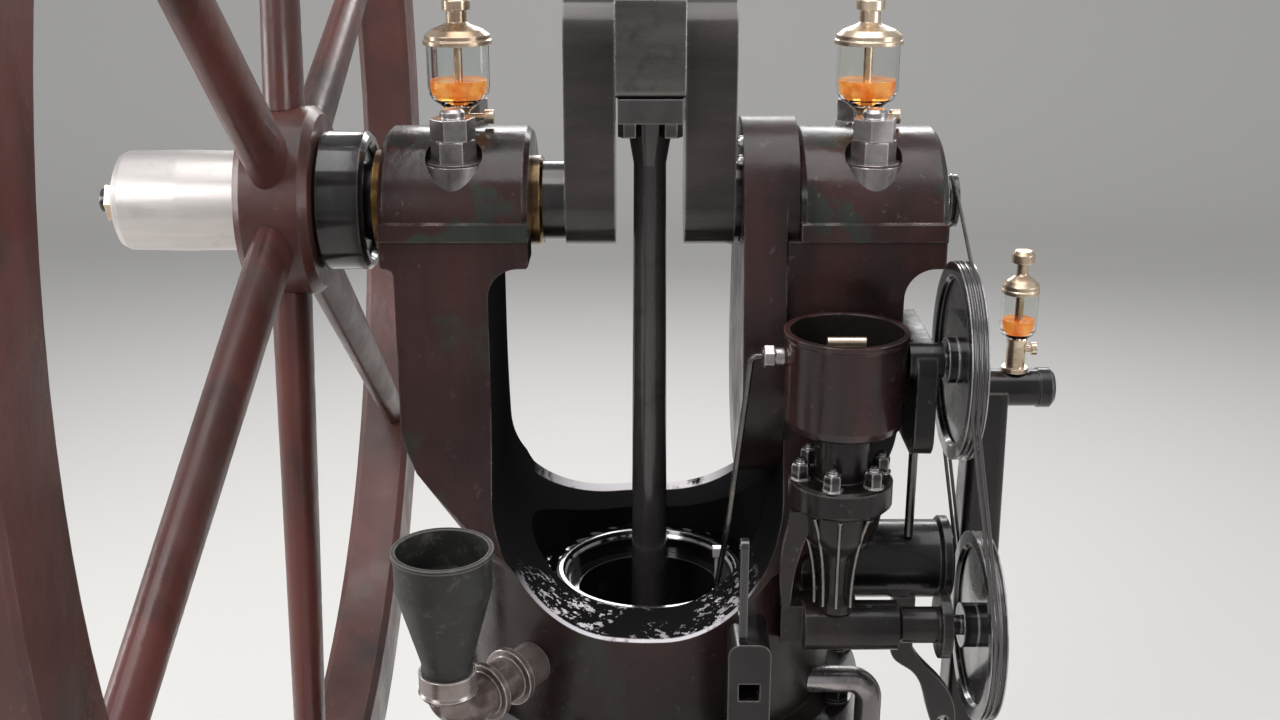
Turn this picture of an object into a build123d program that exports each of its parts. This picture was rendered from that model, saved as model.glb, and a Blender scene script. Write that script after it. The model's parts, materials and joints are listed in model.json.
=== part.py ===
from build123d import *
import math
import os

# Vertical stationary engine. The cylinder stands below, open at its top, and the crankshaft turns above it.
# The floor is z = 0, the cylinder's axis is x = 0 and y = 0, and the crankshaft runs along x.
# The front, with the oil cup and the funnel, faces -y. Lengths are millimetres.

# Running gear
crank_height = 1250
bore = 180
stroke = 320
piston_below_lip = 25
shaft_radius = 40
shaft_end_radius = 16
drum_seat_radius = 30
web_thickness = 50
web_width = 90
web_inner = 34.5
crank_pin_radius = 35

# Fits
seat_gap = 0.1
running_gap = 0.1
bolt_gap = 0.5
barrel_gap = 0.2
piston_gap = 0.4
big_end_gap = 0.5
belt_gap = 0.35
moving_gap = 5

# How far cutting shapes run past the faces they cut
overrun = 1

# Foot, pedestal and jacket
bed_length = 840
bed_depth = 560
bed_thickness = 42
bed_corner = 40
bed_bevel = 10
bed_bolt_x = 760
bed_bolt_y = 480
bed_bolt_radius = 13
foot_length = 520
foot_depth = 460
foot_corner = 60
pedestal_wall = 18
pedestal_flat = 8
head_thickness = 30
head_bevel = 3
flange_radius = 232
flange_thickness = 24
flange_bevel = 14
barrel_radius = 200
barrel_wall = 16
frame_joint = 700

# Cylinder liner and piston
liner_wall = 13
liner_rise = 140
liner_bevel = 4
bore_lead_width = 5
bore_lead_height = 8
trough_radius = 128
trough_depth = 12
trough_bevel = 6
piston_length = 250
piston_skirt_above_pin = 135
piston_wall = 12
piston_bevel = 3
crown_thickness = 22
ring_count = 3
first_ring_rise = 20
ring_width = 7
ring_depth = 3
pin_boss_start = 30
pin_boss_wall = 12
pin_boss_sink = 4
gudgeon_radius = 20
gudgeon_bore = 10
gudgeon_inset = 2
end_clearance = 10

# Connecting rod and big end
rod_eye_radius = 21
rod_low_radius = 20
rod_top_radius = 16.5
rod_neck_radius = 24
rod_palm_radius = 27
rod_end_length = 50
rod_palm_rise = 6
eye_half = 29
eye_wall = 16
palm_play = 3
palm_half_y = 66
palm_thickness = 24
big_end_half = 48
big_end_round = 8
big_brass_wall = 7
big_bolt_x = 20
big_bolt_y = 52
big_bolt_radius = 7
big_head_height = 14
big_nut_flats = 20
big_nut_height = 17
big_bolt_end = 24
cap_bar_height = 26
cap_bar_bevel = 4

# Frame casting
joint_drop = 20
arm_left_out = -249
arm_left_in = -158
arm_right_in = 133
arm_right_out = 247
arm_half_depth = 96
arm_flare_drop = 150
arm_flare_rise = 160
shoulder_rise = 225
arm_straight_rise = 331
shoulder_ease = 20
shoulder_round = 80
arm_ease = 2
saddle_ease = 30
corbel_drop = 27
corbel_radius = 30
window_floor_rise = 155
window_corner = 120
saddle_corner = 4

# Bearings
left_cap_span = (-262, -118)
right_cap_span = (145, 286)
cap_rise = 75
cap_lip = 4
cap_lip_height = 18
cap_end_bevel = 5
brass_radius = 46
brass_collar_radius = 51
brass_bevel = 3
left_brass_span = (-275, -107)
right_brass_span = (145, 290)
stud_offset = 62
stud_radius = 12
stud_seat = 51.5
stud_boss_radius = 27
boss_relief = 0.5
stud_depth = 42
nut_across_flats = 38
nut_height = 21
lock_nut_gap = 0.5
lock_nut_turn = 14
stud_tip = 9
stud_bevel = 3

# Drip oilers on the caps, and the slimmer one on the outboard bearing
oiler_seat_radius = 14
oiler_seat_drop = 1
oiler_base_radius = 13
oiler_neck_rise = 23
oiler_glass_radius = 31
oiler_glass_rise = 60
oiler_glass_wall = 2.5
oiler_stem_radius = 4.5
oiler_lid_radius = 34
oiler_knob_radius = 14
oiler_fill = 0.42
oiler_base_height = 5
oiler_waist_share = 0.72
oiler_dish_height = 8
oiler_cock_drop = 12
oiler_cock_radius = 3.5
oiler_cock_shares = (0.8, 1.1)
small_lid_extra = 0.5
small_oiler_x = 393
small_base_radius = 14
small_neck_rise = 37
small_glass_radius = 19.5
small_glass_rise = 50
small_knob_radius = 12

# Outlines of the oilers: shares of a radius, and of the rise or millimetres above the glass
bowl_outline = ((0.58, 0, 1), (0.85, 0.10, 0.5), (0.96, 0.20, 0), (1, 0.32, 0))
lid_outline = ((1, 0), (1, 4), (0.95, 5), (0.95, 9), (0.75, 14), (0.38, 19), (0.30, 21), (0.30, 32))
knob_outline = ((1, 33), (1, 42), (0.75, 46), (0, 46))

# Timing gear guard on the inner side of the right arm
guard_start = 90.5
guard_top_radius = 85
guard_low_radius = 118
guard_gear_drop = 168
guard_gap = 0.3

# Flywheel, hub collar and belt drum, left of the bearing
rim_outer = 780
rim_depth = 90
rim_span = (-415, -345)
rim_bevel = 8
spoke_count = 6
spoke_x = -368
spoke_root_width = 64
spoke_root_depth = 40
spoke_tip_width = 48
spoke_tip_depth = 30
spoke_turn = 8
spoke_sink = 20
hub_radius = 95
hub_span = (-402, -330)
hub_bevel = 8
collar_radius = 70
collar_face = -281
collar_bevel = 4
collar_land = 10
collar_recess = 6
collar_slope = 3
drum_radius = 50
drum_span = (-535, -404)
drum_round = 9
drum_crown = 1
shaft_tip = -556
shaft_tip_radius = 12
drum_nut_radius = 21
drum_nut_width = 12
drum_nut_gap = 2

# Sheaves and round belts at the right
crank_sheave_x = 304.5
crank_sheave_radius = 27
crank_sheave_width = 12
crank_sheave_gap = 1.5
crank_sheave_land = 2
upper_sheave_x = 289
lower_sheave_x = 326.5
sheave_width = 16
sheave_radius = 93
sheave_rim_depth = 13
sheave_rim_slope = 2
sheave_web = 7
sheave_hub_radius = 22
sheave_hub_side = 5
sheave_hub_front = 3
groove_pitch = 4.6
belt_radius = 1.8
belt_sink = 1.2
belt_lead = 26
belt_bend = 40
side_y = -165
upper_sheave_drop = 117
lower_sheave_drop = 394
upper_spindle_radius = 8
lower_spindle_radius = 10
lower_spindle_inset = 20

# Oil cup and the column under it
cup_x = 183
cup_radius = 57
cup_wall = 4
cup_drop = 183
cup_height = 96
cup_floor = 9
cup_lip = 2
cup_lip_height = 5
cup_lip_slope = 2
cup_foot_inset = 9
cup_foot_step = 3
cup_foot_rise = 4
cup_side_rise = 11
neck_radius = 26
neck_flange_radius = 50
neck_length = 79
neck_flange_height = 29
neck_flange_foot_bevel = 4
neck_flange_bevel = 3
neck_cone_height = 6
neck_cone_width = 8
column_top_radius = 42
column_taper = 4.5
column_collar_height = 24
column_bend_radius = 26
column_bend_drop = 44
column_waist_radius = 17
column_waist_rise = 16
column_foot_radius = 20
column_foot_rise = 5
column_foot_sink = 4
tap_foot_radius = 9
tap_foot_height = 8
tap_stem_radius = 3.5
tap_bar_drop = 12
tap_bar_radius = 5
tap_bar_length = 36
fitting_radius = 8
fitting_drop = 26
fitting_length = 22
fitting_sink = 2

# Side shaft, valve chest and brackets
tube_radius = 24.5
tube_end_radius = 18
tube_start = 152
tube_step = 245
tube_step_slope = 4
tube_bore_inset = 10
tube_end = 296
tube_flange_radius = 33
tube_flange_width = 10
tube_foot_width = 38
tube_foot_reach = 35
tube_foot_height = 40
tube_foot_overlap = 16
boss_radius = 17
boss_end = 273
boss_wall = 2
bracket_end = 266
bracket_below = 93
bracket_above = 15
bracket_back = -45
bracket_front = -187
bracket_corner = 24
chest_y = -90
chest_rise = 193
chest_radius = 40
chest_start = 100
chest_end = 308
chest_lid = 10
chest_lid_lip = 4
chest_lid_bevel = 2
push_rod_x = 262
push_rod_y = -112
push_rod_radius = 4.5
oil_pipe_radius = 3
oil_pipe_elbow = (94.5, -165)
oil_pipe_knee = (77, -152)
oil_pipe_knee_rise = 122
oil_pipe_tip = (70, -69)
oil_pipe_tip_rise = 4
oil_pipe_bends = (6, 60)
lever_top_width = 23
lever_depth = 14
lever_y = -104
lever_shank_drop = 92
lever_eye_x = 311
lever_eye_drop = 180
lever_eye_radius = 13
lever_left_bend = (11.5, 60)
lever_right_bend = (36.8, 55)

# Guide block and link on the front of the barrel
block_span = (74, 115)
block_front = -236
block_rise = 42
block_height = 130
block_round = 12
block_hole_width = 20
block_hole_height = 18
block_hole_rise = 79
block_hole_depth = 34
block_depth = 136
link_x = 88
link_width = 8
link_back = -212
link_front = -228
link_length = 103
link_round = 7

# Outboard bearing on its post, right of the sheaves
outboard_y = 30
outboard_drop = 212
outboard_radius = 20
outboard_start = 345
outboard_end = 435
outboard_band = (418, 431)
outboard_band_rise = 1.5
outboard_face_gap = 6
outboard_bevel = 3
oiler_flat_radius = 15
post_width = 40
post_depth = 46
post_low_width = 62
post_low_depth = 74
post_foot_size = 120
post_foot_thickness = 16
post_corner = 8

# Water funnel with its elbow, and the water outlet
funnel_x = -190
funnel_y = -260
funnel_mouth_radius = 45
funnel_mouth_height = 38
funnel_neck_radius = 24
funnel_height = 134
funnel_neck_height = 20
funnel_wall = 2.5
funnel_lip = 2
funnel_lip_height = 4
elbow_radius = 22
elbow_rise = 112
elbow_socket_drop = 38
elbow_bend = 34
elbow_bead_radius = 28
elbow_bead_height = 7
elbow_bead_round = 2
elbow_socket_wall = 3
elbow_socket_depth = 10
elbow_sink = 8
union_radius = 29
union_reach = 40
union_span = (0.30, 0.52)
outlet_radius = 14
outlet_y = -100
outlet_rise = 57
outlet_start = 140
outlet_x = 232
outlet_bend = 22
outlet_fall = 197
outlet_end = 330
outlet_collar_radius = 19
outlet_collar_length = 22

# Heights and other values that follow from the sizes above
throw = stroke / 2
pin_height = crank_height + throw
liner_top = frame_joint + liner_rise
trough_floor = liner_top - trough_depth
piston_top = liner_top - piston_below_lip
piston_bottom = piston_top - piston_length
gudgeon_height = piston_top - piston_skirt_above_pin
head_top = piston_bottom - stroke - end_clearance
pedestal_top = head_top - head_thickness
bore_radius = bore / 2
piston_radius = bore_radius - piston_gap
liner_radius = bore_radius + liner_wall
web_outer = web_inner + web_thickness
joint_height = crank_height - joint_drop
corbel_height = joint_height - corbel_drop
stud_root = joint_height - stud_depth
arm_flare_top = crank_height - arm_flare_drop
arm_flare_bottom = frame_joint + arm_flare_rise
shoulder_height = frame_joint + shoulder_rise
arm_straight_from = frame_joint + arm_straight_rise
window_floor = frame_joint + window_floor_rise
upper_sheave_z = crank_height - upper_sheave_drop
lower_sheave_z = crank_height - lower_sheave_drop
cup_bottom = crank_height - cup_drop
cup_top = cup_bottom + cup_height
neck_flange_bottom = cup_bottom - neck_length
neck_flange_top = neck_flange_bottom + neck_flange_height
fitting_height = cup_top - fitting_drop
bracket_bottom = upper_sheave_z - bracket_below
bracket_top = upper_sheave_z + bracket_above
chest_z = frame_joint + chest_rise
block_bottom = frame_joint + block_rise
block_top = block_bottom + block_height
block_hole_z = block_bottom + block_hole_rise
link_top = block_top + link_length
outboard_z = crank_height - outboard_drop
elbow_z = frame_joint + elbow_rise
funnel_bottom = elbow_z + elbow_socket_drop
funnel_taper_bottom = funnel_bottom + funnel_neck_height
funnel_top = funnel_bottom + funnel_height
funnel_mouth_bottom = funnel_top - funnel_mouth_height
outlet_z = frame_joint + outlet_rise
outlet_low_z = outlet_z - outlet_fall
cap_top = crank_height + cap_rise
rim_inner = rim_outer - rim_depth
belt_run_radius = sheave_radius - belt_sink
crank_run_radius = crank_sheave_radius - belt_sink
water_radius = barrel_radius - barrel_wall
arm_reach = math.hypot(left_cap_span[0], arm_half_depth) + arm_ease
palm_half_x = web_inner - palm_play
palm_top = pin_height - big_end_half
palm_foot = palm_top - palm_thickness
big_end_top = pin_height + big_end_half
cap_bar_top = big_end_top + cap_bar_height
big_brass_radius = crank_pin_radius + big_brass_wall
crank_sheave_start = crank_sheave_x - crank_sheave_width / 2
crank_sheave_end = crank_sheave_x + crank_sheave_width / 2
column_foot = lower_sheave_z + tube_radius
cap_oilers = (sum(left_cap_span) / 2, sum(right_cap_span) / 2)
oiler_foot = cap_top - oiler_seat_drop
small_foot = outboard_z + outboard_radius - oiler_seat_drop

os.makedirs("parts", exist_ok=True)


def turn_upright(x, y, outline, mode=Mode.ADD):
    # Turns an outline of (radius, height) points about the upright line at x, y.
    with BuildSketch(Plane((x, y, 0), x_dir=(1, 0, 0), z_dir=(0, -1, 0))) as section:
        with BuildLine():
            Polyline(*outline, close=True)
        make_face()
    revolve(section.sketch.faces(), axis=Axis((x, y, 0), (0, 0, 1)), mode=mode)


def turn_across(y, z, outline, mode=Mode.ADD):
    # Turns an outline of (x, radius) points about the line along x at y, z.
    with BuildSketch(Plane((0, y, z), x_dir=(1, 0, 0), z_dir=(0, -1, 0))) as section:
        with BuildLine():
            Polyline(*outline, close=True)
        make_face()
    revolve(section.sketch.faces(), axis=Axis((0, y, z), (1, 0, 0)), mode=mode)


def cut_grooves(y, z, places, run_radius):
    # Cuts one round-bottomed belt groove at each x, where the belt's centre runs at run_radius.
    groove = belt_radius + belt_gap
    for x in places:
        with BuildSketch(Plane((0, y, z), x_dir=(1, 0, 0), z_dir=(0, -1, 0))) as section:
            with Locations((x, run_radius)):
                Circle(groove)
            with Locations((x, run_radius + groove)):
                Rectangle(2 * groove, 2 * groove)
        revolve(section.sketch.faces(), axis=Axis((0, y, z), (1, 0, 0)), mode=Mode.SUBTRACT)


def belt_loop(first, first_radius, second, second_radius):
    # Sweeps one round belt about two pulleys, each given by the (x, y, z) centre of its groove.
    # It leaves each groove straight for belt_lead and then slants over to the other one.
    reach_y = second[1] - first[1]
    reach_z = second[2] - first[2]
    lean = math.atan2(reach_z, reach_y)
    wrap = math.acos((first_radius - second_radius) / math.hypot(reach_y, reach_z))

    def point(centre, radius, angle, lead=0):
        x, y, z = centre
        across, up = math.cos(angle), math.sin(angle)
        return (x, y + radius * across - lead * up, z + radius * up + lead * across)

    def strand(angle, side):
        FilletPolyline(
            point(first, first_radius, angle), point(first, first_radius, angle, side * belt_lead),
            point(second, second_radius, angle, -side * belt_lead), point(second, second_radius, angle),
            radius=belt_bend)

    with BuildLine() as loop:
        ThreePointArc(
            point(first, first_radius, lean + wrap), point(first, first_radius, lean + math.pi),
            point(first, first_radius, lean - wrap))
        strand(lean - wrap, 1)
        ThreePointArc(
            point(second, second_radius, lean - wrap), point(second, second_radius, lean),
            point(second, second_radius, lean + wrap))
        strand(lean + wrap, -1)
    with BuildSketch(Plane(loop.line @ 0, z_dir=loop.line % 0)) as section:
        Circle(belt_radius)
    sweep(section.sketch.faces(), path=loop.line)


# Bed plate with its four foundation bolt holes
with BuildPart() as bed_plate:
    with BuildSketch():
        RectangleRounded(bed_length, bed_depth, bed_corner)
    extrude(amount=bed_thickness)
    chamfer(bed_plate.faces().sort_by(Axis.Z)[-1].edges(), length=bed_bevel)
    with Locations((0, 0, bed_thickness)):
        with GridLocations(bed_bolt_x, bed_bolt_y, 2, 2):
            Hole(bed_bolt_radius)
bed_plate.part.label = "bed_plate"
export_step(bed_plate.part, "parts/bed_plate.step")

# Hollow pedestal, from a wide foot to a round top flange
with BuildPart() as pedestal:
    loft_top = pedestal_top - flange_thickness
    for inset, mode in ((0, Mode.ADD), (pedestal_wall, Mode.SUBTRACT)):
        with BuildSketch(Plane.XY.offset(bed_thickness)):
            RectangleRounded(foot_length - 2 * inset, foot_depth - 2 * inset, foot_corner - inset)
        with BuildSketch(Plane.XY.offset(loft_top)):
            side = 2 * (barrel_radius - inset) + pedestal_flat
            RectangleRounded(side, side, barrel_radius - inset)
        loft(mode=mode)
    turn_upright(0, 0, [
        (0, loft_top), (flange_radius, loft_top), (flange_radius, pedestal_top), (0, pedestal_top)])
pedestal.part.label = "pedestal"
export_step(pedestal.part, "parts/pedestal.step")

# Cylinder head, clamped between the pedestal and the jacket
with BuildPart() as cylinder_head:
    turn_upright(0, 0, [
        (0, pedestal_top), (flange_radius, pedestal_top), (flange_radius, head_top), (0, head_top)])
    chamfer(cylinder_head.edges().filter_by(GeomType.CIRCLE), length=head_bevel)
cylinder_head.part.label = "cylinder_head"
export_step(cylinder_head.part, "parts/cylinder_head.step")

# Water jacket, an open shell round the lower liner
with BuildPart() as water_jacket:
    low_flange = head_top + flange_thickness
    top_flange = frame_joint - flange_thickness
    turn_upright(0, 0, [
        (liner_radius + barrel_gap, head_top),
        (flange_radius, head_top),
        (flange_radius, low_flange),
        (barrel_radius + flange_bevel, low_flange),
        (barrel_radius, low_flange + flange_bevel),
        (barrel_radius, top_flange - flange_bevel),
        (barrel_radius + flange_bevel, top_flange),
        (flange_radius, top_flange),
        (flange_radius, frame_joint),
        (water_radius, frame_joint),
        (water_radius, low_flange),
        (liner_radius + barrel_gap, low_flange)])
water_jacket.part.label = "water_jacket"
export_step(water_jacket.part, "parts/water_jacket.step")

# Cylinder liner, whose bevelled collar stands in the oil trough
with BuildPart() as cylinder_liner:
    turn_upright(0, 0, [
        (bore_radius, head_top),
        (liner_radius, head_top),
        (liner_radius, liner_top - liner_bevel),
        (liner_radius - liner_bevel, liner_top),
        (bore_radius + bore_lead_width, liner_top),
        (bore_radius, liner_top - bore_lead_height)])
cylinder_liner.part.label = "cylinder_liner"
export_step(cylinder_liner.part, "parts/cylinder_liner.step")

# Frame casting: the barrel top, the U window and the two arms up to the bearing saddles
with BuildPart() as engine_frame:
    left_out, left_in = left_cap_span
    right_in, right_out = right_cap_span
    with BuildSketch(Plane.XZ) as front_view:
        with BuildLine():
            FilletPolyline(
                (-barrel_radius, frame_joint), (-barrel_radius, shoulder_height),
                (arm_left_out, arm_straight_from), (arm_left_out, corbel_height),
                (left_out, corbel_height), (left_out, joint_height),
                radius=[shoulder_round, shoulder_round, 2 * saddle_corner, saddle_corner])
            Line((left_out, joint_height), (left_in, joint_height))
            FilletPolyline(
                (left_in, joint_height), (left_in, corbel_height), (arm_left_in, corbel_height),
                (arm_left_in, window_floor), (arm_right_in, window_floor), (arm_right_in, joint_height),
                radius=[saddle_corner, corbel_radius, window_corner, window_corner])
            Line((arm_right_in, joint_height), (right_out, joint_height))
            FilletPolyline(
                (right_out, joint_height), (right_out, corbel_height),
                (arm_right_out, corbel_height), (arm_right_out, arm_straight_from),
                (barrel_radius, shoulder_height), (barrel_radius, frame_joint),
                radius=[saddle_corner, corbel_radius, shoulder_round, shoulder_round])
            Line((barrel_radius, frame_joint), (-barrel_radius, frame_joint))
        make_face()
    extrude(amount=barrel_radius + overrun, both=True)
    with BuildSketch(Plane.YZ) as side_view:
        flare_rise = arm_flare_top - arm_flare_bottom
        flare_out = barrel_radius - arm_half_depth
        flare_radius = (flare_rise ** 2 + flare_out ** 2) / (2 * flare_out)
        with BuildLine():
            for side in (-1, 1):
                Line((side * arm_half_depth, joint_height), (side * arm_half_depth, arm_flare_top))
                RadiusArc(
                    (side * arm_half_depth, arm_flare_top), (side * barrel_radius, arm_flare_bottom),
                    -side * flare_radius)
                Line((side * barrel_radius, arm_flare_bottom), (side * barrel_radius, frame_joint))
            Line((-arm_half_depth, joint_height), (arm_half_depth, joint_height))
            Line((-barrel_radius, frame_joint), (barrel_radius, frame_joint))
        make_face()
    extrude(amount=right_out + overrun, both=True, mode=Mode.INTERSECT)
    turn_upright(0, 0, [
        (0, frame_joint), (barrel_radius, frame_joint), (barrel_radius, shoulder_height - shoulder_ease),
        (arm_reach, arm_straight_from), (arm_reach + saddle_ease, joint_height), (0, joint_height)],
        mode=Mode.INTERSECT)
    turn_upright(0, 0, [
        (water_radius, frame_joint), (flange_radius, frame_joint),
        (flange_radius, frame_joint + flange_thickness),
        (barrel_radius + flange_bevel, frame_joint + flange_thickness),
        (barrel_radius - overrun, frame_joint + flange_thickness + flange_bevel)])
    turn_upright(0, 0, [
        (0, frame_joint), (liner_radius + barrel_gap, frame_joint),
        (liner_radius + barrel_gap, trough_floor), (trough_radius - trough_bevel, trough_floor),
        (trough_radius, trough_floor + trough_bevel), (trough_radius, joint_height), (0, joint_height)],
        mode=Mode.SUBTRACT)
    turn_across(0, crank_height, [
        (left_out - overrun, 0), (left_out - overrun, brass_radius + seat_gap),
        (right_out + overrun, brass_radius + seat_gap), (right_out + overrun, 0)], mode=Mode.SUBTRACT)
    for cap_span in (left_cap_span, right_cap_span):
        with Locations((sum(cap_span) / 2, 0, joint_height)):
            with GridLocations(0, 2 * stud_offset, 1, 2):
                Hole(stud_radius + bolt_gap, depth=joint_height - stud_root)
engine_frame.part.label = "engine_frame"
export_step(engine_frame.part, "parts/engine_frame.step")


def bearing_cap(cap_span):
    # A domed cap over the shaft, with a lip at its joint and a round boss and seat for each stud.
    start, end = cap_span
    middle = (start + end) / 2
    with BuildPart() as cap:
        with BuildSketch(Plane.YZ.offset(start)):
            with BuildLine():
                EllipticalCenterArc(
                    (0, crank_height), arm_half_depth, cap_rise, start_angle=0, arc_size=180)
                Polyline(
                    (-arm_half_depth, crank_height), (-arm_half_depth, joint_height),
                    (arm_half_depth, joint_height), (arm_half_depth, crank_height))
            make_face()
        extrude(amount=end - start)
        ends = cap.faces().filter_by(Axis.X)
        chamfer(ends.edges().filter_by(GeomType.ELLIPSE), length=cap_end_bevel)
        with Locations((middle, 0, joint_height + cap_lip_height / 2)):
            Box(end - start, 2 * (arm_half_depth + cap_lip), cap_lip_height)
        with Locations((middle, 0, joint_height)):
            with GridLocations(0, 2 * stud_offset, 1, 2):
                Cylinder(
                    stud_boss_radius, crank_height + stud_seat - joint_height,
                    align=(Align.CENTER, Align.CENTER, Align.MIN))
        with Locations((middle, 0, crank_height + stud_seat)):
            with GridLocations(0, 2 * stud_offset, 1, 2):
                Cylinder(
                    stud_boss_radius + boss_relief, cap_rise,
                    align=(Align.CENTER, Align.CENTER, Align.MIN), mode=Mode.SUBTRACT)
                Hole(stud_radius + bolt_gap)
        turn_across(0, crank_height, [
            (start - overrun, 0), (start - overrun, brass_radius + seat_gap),
            (end + overrun, brass_radius + seat_gap), (end + overrun, 0)], mode=Mode.SUBTRACT)
        turn_upright(middle, 0, [
            (0, cap_top - oiler_seat_drop), (oiler_seat_radius, cap_top - oiler_seat_drop),
            (oiler_seat_radius, cap_top + overrun), (0, cap_top + overrun)], mode=Mode.SUBTRACT)
    return cap


left_bearing_cap = bearing_cap(left_cap_span)
left_bearing_cap.part.label = "left_bearing_cap"
export_step(left_bearing_cap.part, "parts/left_bearing_cap.step")

right_bearing_cap = bearing_cap(right_cap_span)
right_bearing_cap.part.label = "right_bearing_cap"
export_step(right_bearing_cap.part, "parts/right_bearing_cap.step")

# Bearing brasses, with a collar where they stand out of the caps
with BuildPart() as bearing_brasses:
    start, end = left_brass_span
    turn_across(0, crank_height, [
        (start, shaft_radius + running_gap), (start, brass_collar_radius),
        (left_cap_span[0], brass_collar_radius), (left_cap_span[0], brass_radius),
        (end - brass_bevel, brass_radius), (end, brass_radius - brass_bevel),
        (end, shaft_radius + running_gap)])
    start, end = right_brass_span
    turn_across(0, crank_height, [
        (start, shaft_radius + running_gap), (start, brass_radius),
        (end - brass_bevel, brass_radius), (end, brass_radius - brass_bevel),
        (end, shaft_radius + running_gap)])
bearing_brasses.part.label = "bearing_brasses"
export_step(bearing_brasses.part, "parts/bearing_brasses.step")

# Four cap studs, each with a nut and a lock nut
with BuildPart() as cap_studs:
    seat = crank_height + stud_seat
    stud_end = seat + 2 * nut_height + stud_tip
    for cap_span in (left_cap_span, right_cap_span):
        for side in (-1, 1):
            place = (sum(cap_span) / 2, side * stud_offset)
            turn_upright(*place, [
                (0, stud_root), (stud_radius, stud_root),
                (stud_radius, stud_end - stud_bevel), (stud_radius - stud_bevel, stud_end), (0, stud_end)])
            for layer in (0, 1):
                with BuildSketch(Plane.XY.offset(seat + layer * (nut_height + lock_nut_gap))):
                    with Locations(place):
                        RegularPolygon(
                            nut_across_flats / 2, 6, major_radius=False,
                            rotation=layer * lock_nut_turn)
                extrude(amount=nut_height)
cap_studs.part.label = "cap_studs"
export_step(cap_studs.part, "parts/cap_studs.step")


def bowl_side(foot, radius, rise, inset):
    # The (radius, height) points of a glass bowl's side from its foot up, inset from the outer face.
    return [
        (share * radius - inset, foot + part * rise + lift * inset) for share, part, lift in bowl_outline]


def drip_oiler(x, y, foot, base_radius, neck_rise, glass_radius, glass_rise, lid_radius, knob_radius):
    # Brass base, centre tube, lid and knob of a sight oiler.
    glass_foot = foot + neck_rise
    glass_top = glass_foot + glass_rise
    waist_radius = oiler_waist_share * base_radius
    dish_radius = bowl_outline[0][0] * glass_radius
    cock_start, cock_end = (x + share * glass_radius for share in oiler_cock_shares)
    with BuildPart() as oiler:
        turn_upright(x, y, [
            (0, foot), (base_radius, foot), (base_radius, foot + oiler_base_height),
            (waist_radius, foot + oiler_base_height), (waist_radius, glass_foot - oiler_dish_height),
            (dish_radius, glass_foot), (oiler_stem_radius, glass_foot), (oiler_stem_radius, glass_top),
            *((share * lid_radius, glass_top + rise) for share, rise in lid_outline),
            *((share * knob_radius, glass_top + rise) for share, rise in knob_outline)])
        turn_across(y, glass_foot - oiler_cock_drop, [
            (x, 0), (x, oiler_cock_radius), (cock_start, oiler_cock_radius),
            (cock_start, 2 * oiler_cock_radius), (cock_end, 2 * oiler_cock_radius), (cock_end, 0)])
    return oiler


left_oiler = drip_oiler(
    cap_oilers[0], 0, oiler_foot, oiler_base_radius, oiler_neck_rise, oiler_glass_radius,
    oiler_glass_rise, oiler_lid_radius, oiler_knob_radius)
left_oiler.part.label = "left_oiler"
export_step(left_oiler.part, "parts/left_oiler.step")

right_oiler = drip_oiler(
    cap_oilers[1], 0, oiler_foot, oiler_base_radius, oiler_neck_rise, oiler_glass_radius,
    oiler_glass_rise, oiler_lid_radius, oiler_knob_radius)
right_oiler.part.label = "right_oiler"
export_step(right_oiler.part, "parts/right_oiler.step")

small_oiler = drip_oiler(
    small_oiler_x, outboard_y, small_foot, small_base_radius, small_neck_rise, small_glass_radius,
    small_glass_rise, small_glass_radius + small_lid_extra, small_knob_radius)
small_oiler.part.label = "small_oiler"
export_step(small_oiler.part, "parts/small_oiler.step")

# Glass bowls of the oilers, and the oil in them
bowls = [(x, 0, oiler_foot + oiler_neck_rise, oiler_glass_radius, oiler_glass_rise) for x in cap_oilers]
bowls.append((small_oiler_x, outboard_y, small_foot + small_neck_rise, small_glass_radius, small_glass_rise))
with BuildPart() as oiler_glasses:
    for x, y, foot, radius, rise in bowls:
        inside = bowl_side(foot, radius, rise, oiler_glass_wall)
        turn_upright(x, y, [
            (oiler_stem_radius + seat_gap, foot), *bowl_side(foot, radius, rise, 0), (radius, foot + rise),
            (radius - oiler_glass_wall, foot + rise), *reversed(inside),
            (oiler_stem_radius + seat_gap, foot + oiler_glass_wall)])
oiler_glasses.part.label = "oiler_glasses"
export_step(oiler_glasses.part, "parts/oiler_glasses.step")

with BuildPart() as oiler_oil:
    for x, y, foot, radius, rise in bowls:
        inset = oiler_glass_wall + seat_gap
        turn_upright(x, y, [
            (oiler_stem_radius + seat_gap, foot + inset), *bowl_side(foot, radius, rise, inset),
            (radius - inset, foot + oiler_fill * rise),
            (oiler_stem_radius + seat_gap, foot + oiler_fill * rise)])
oiler_oil.part.label = "oiler_oil"
export_step(oiler_oil.part, "parts/oiler_oil.step")

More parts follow.
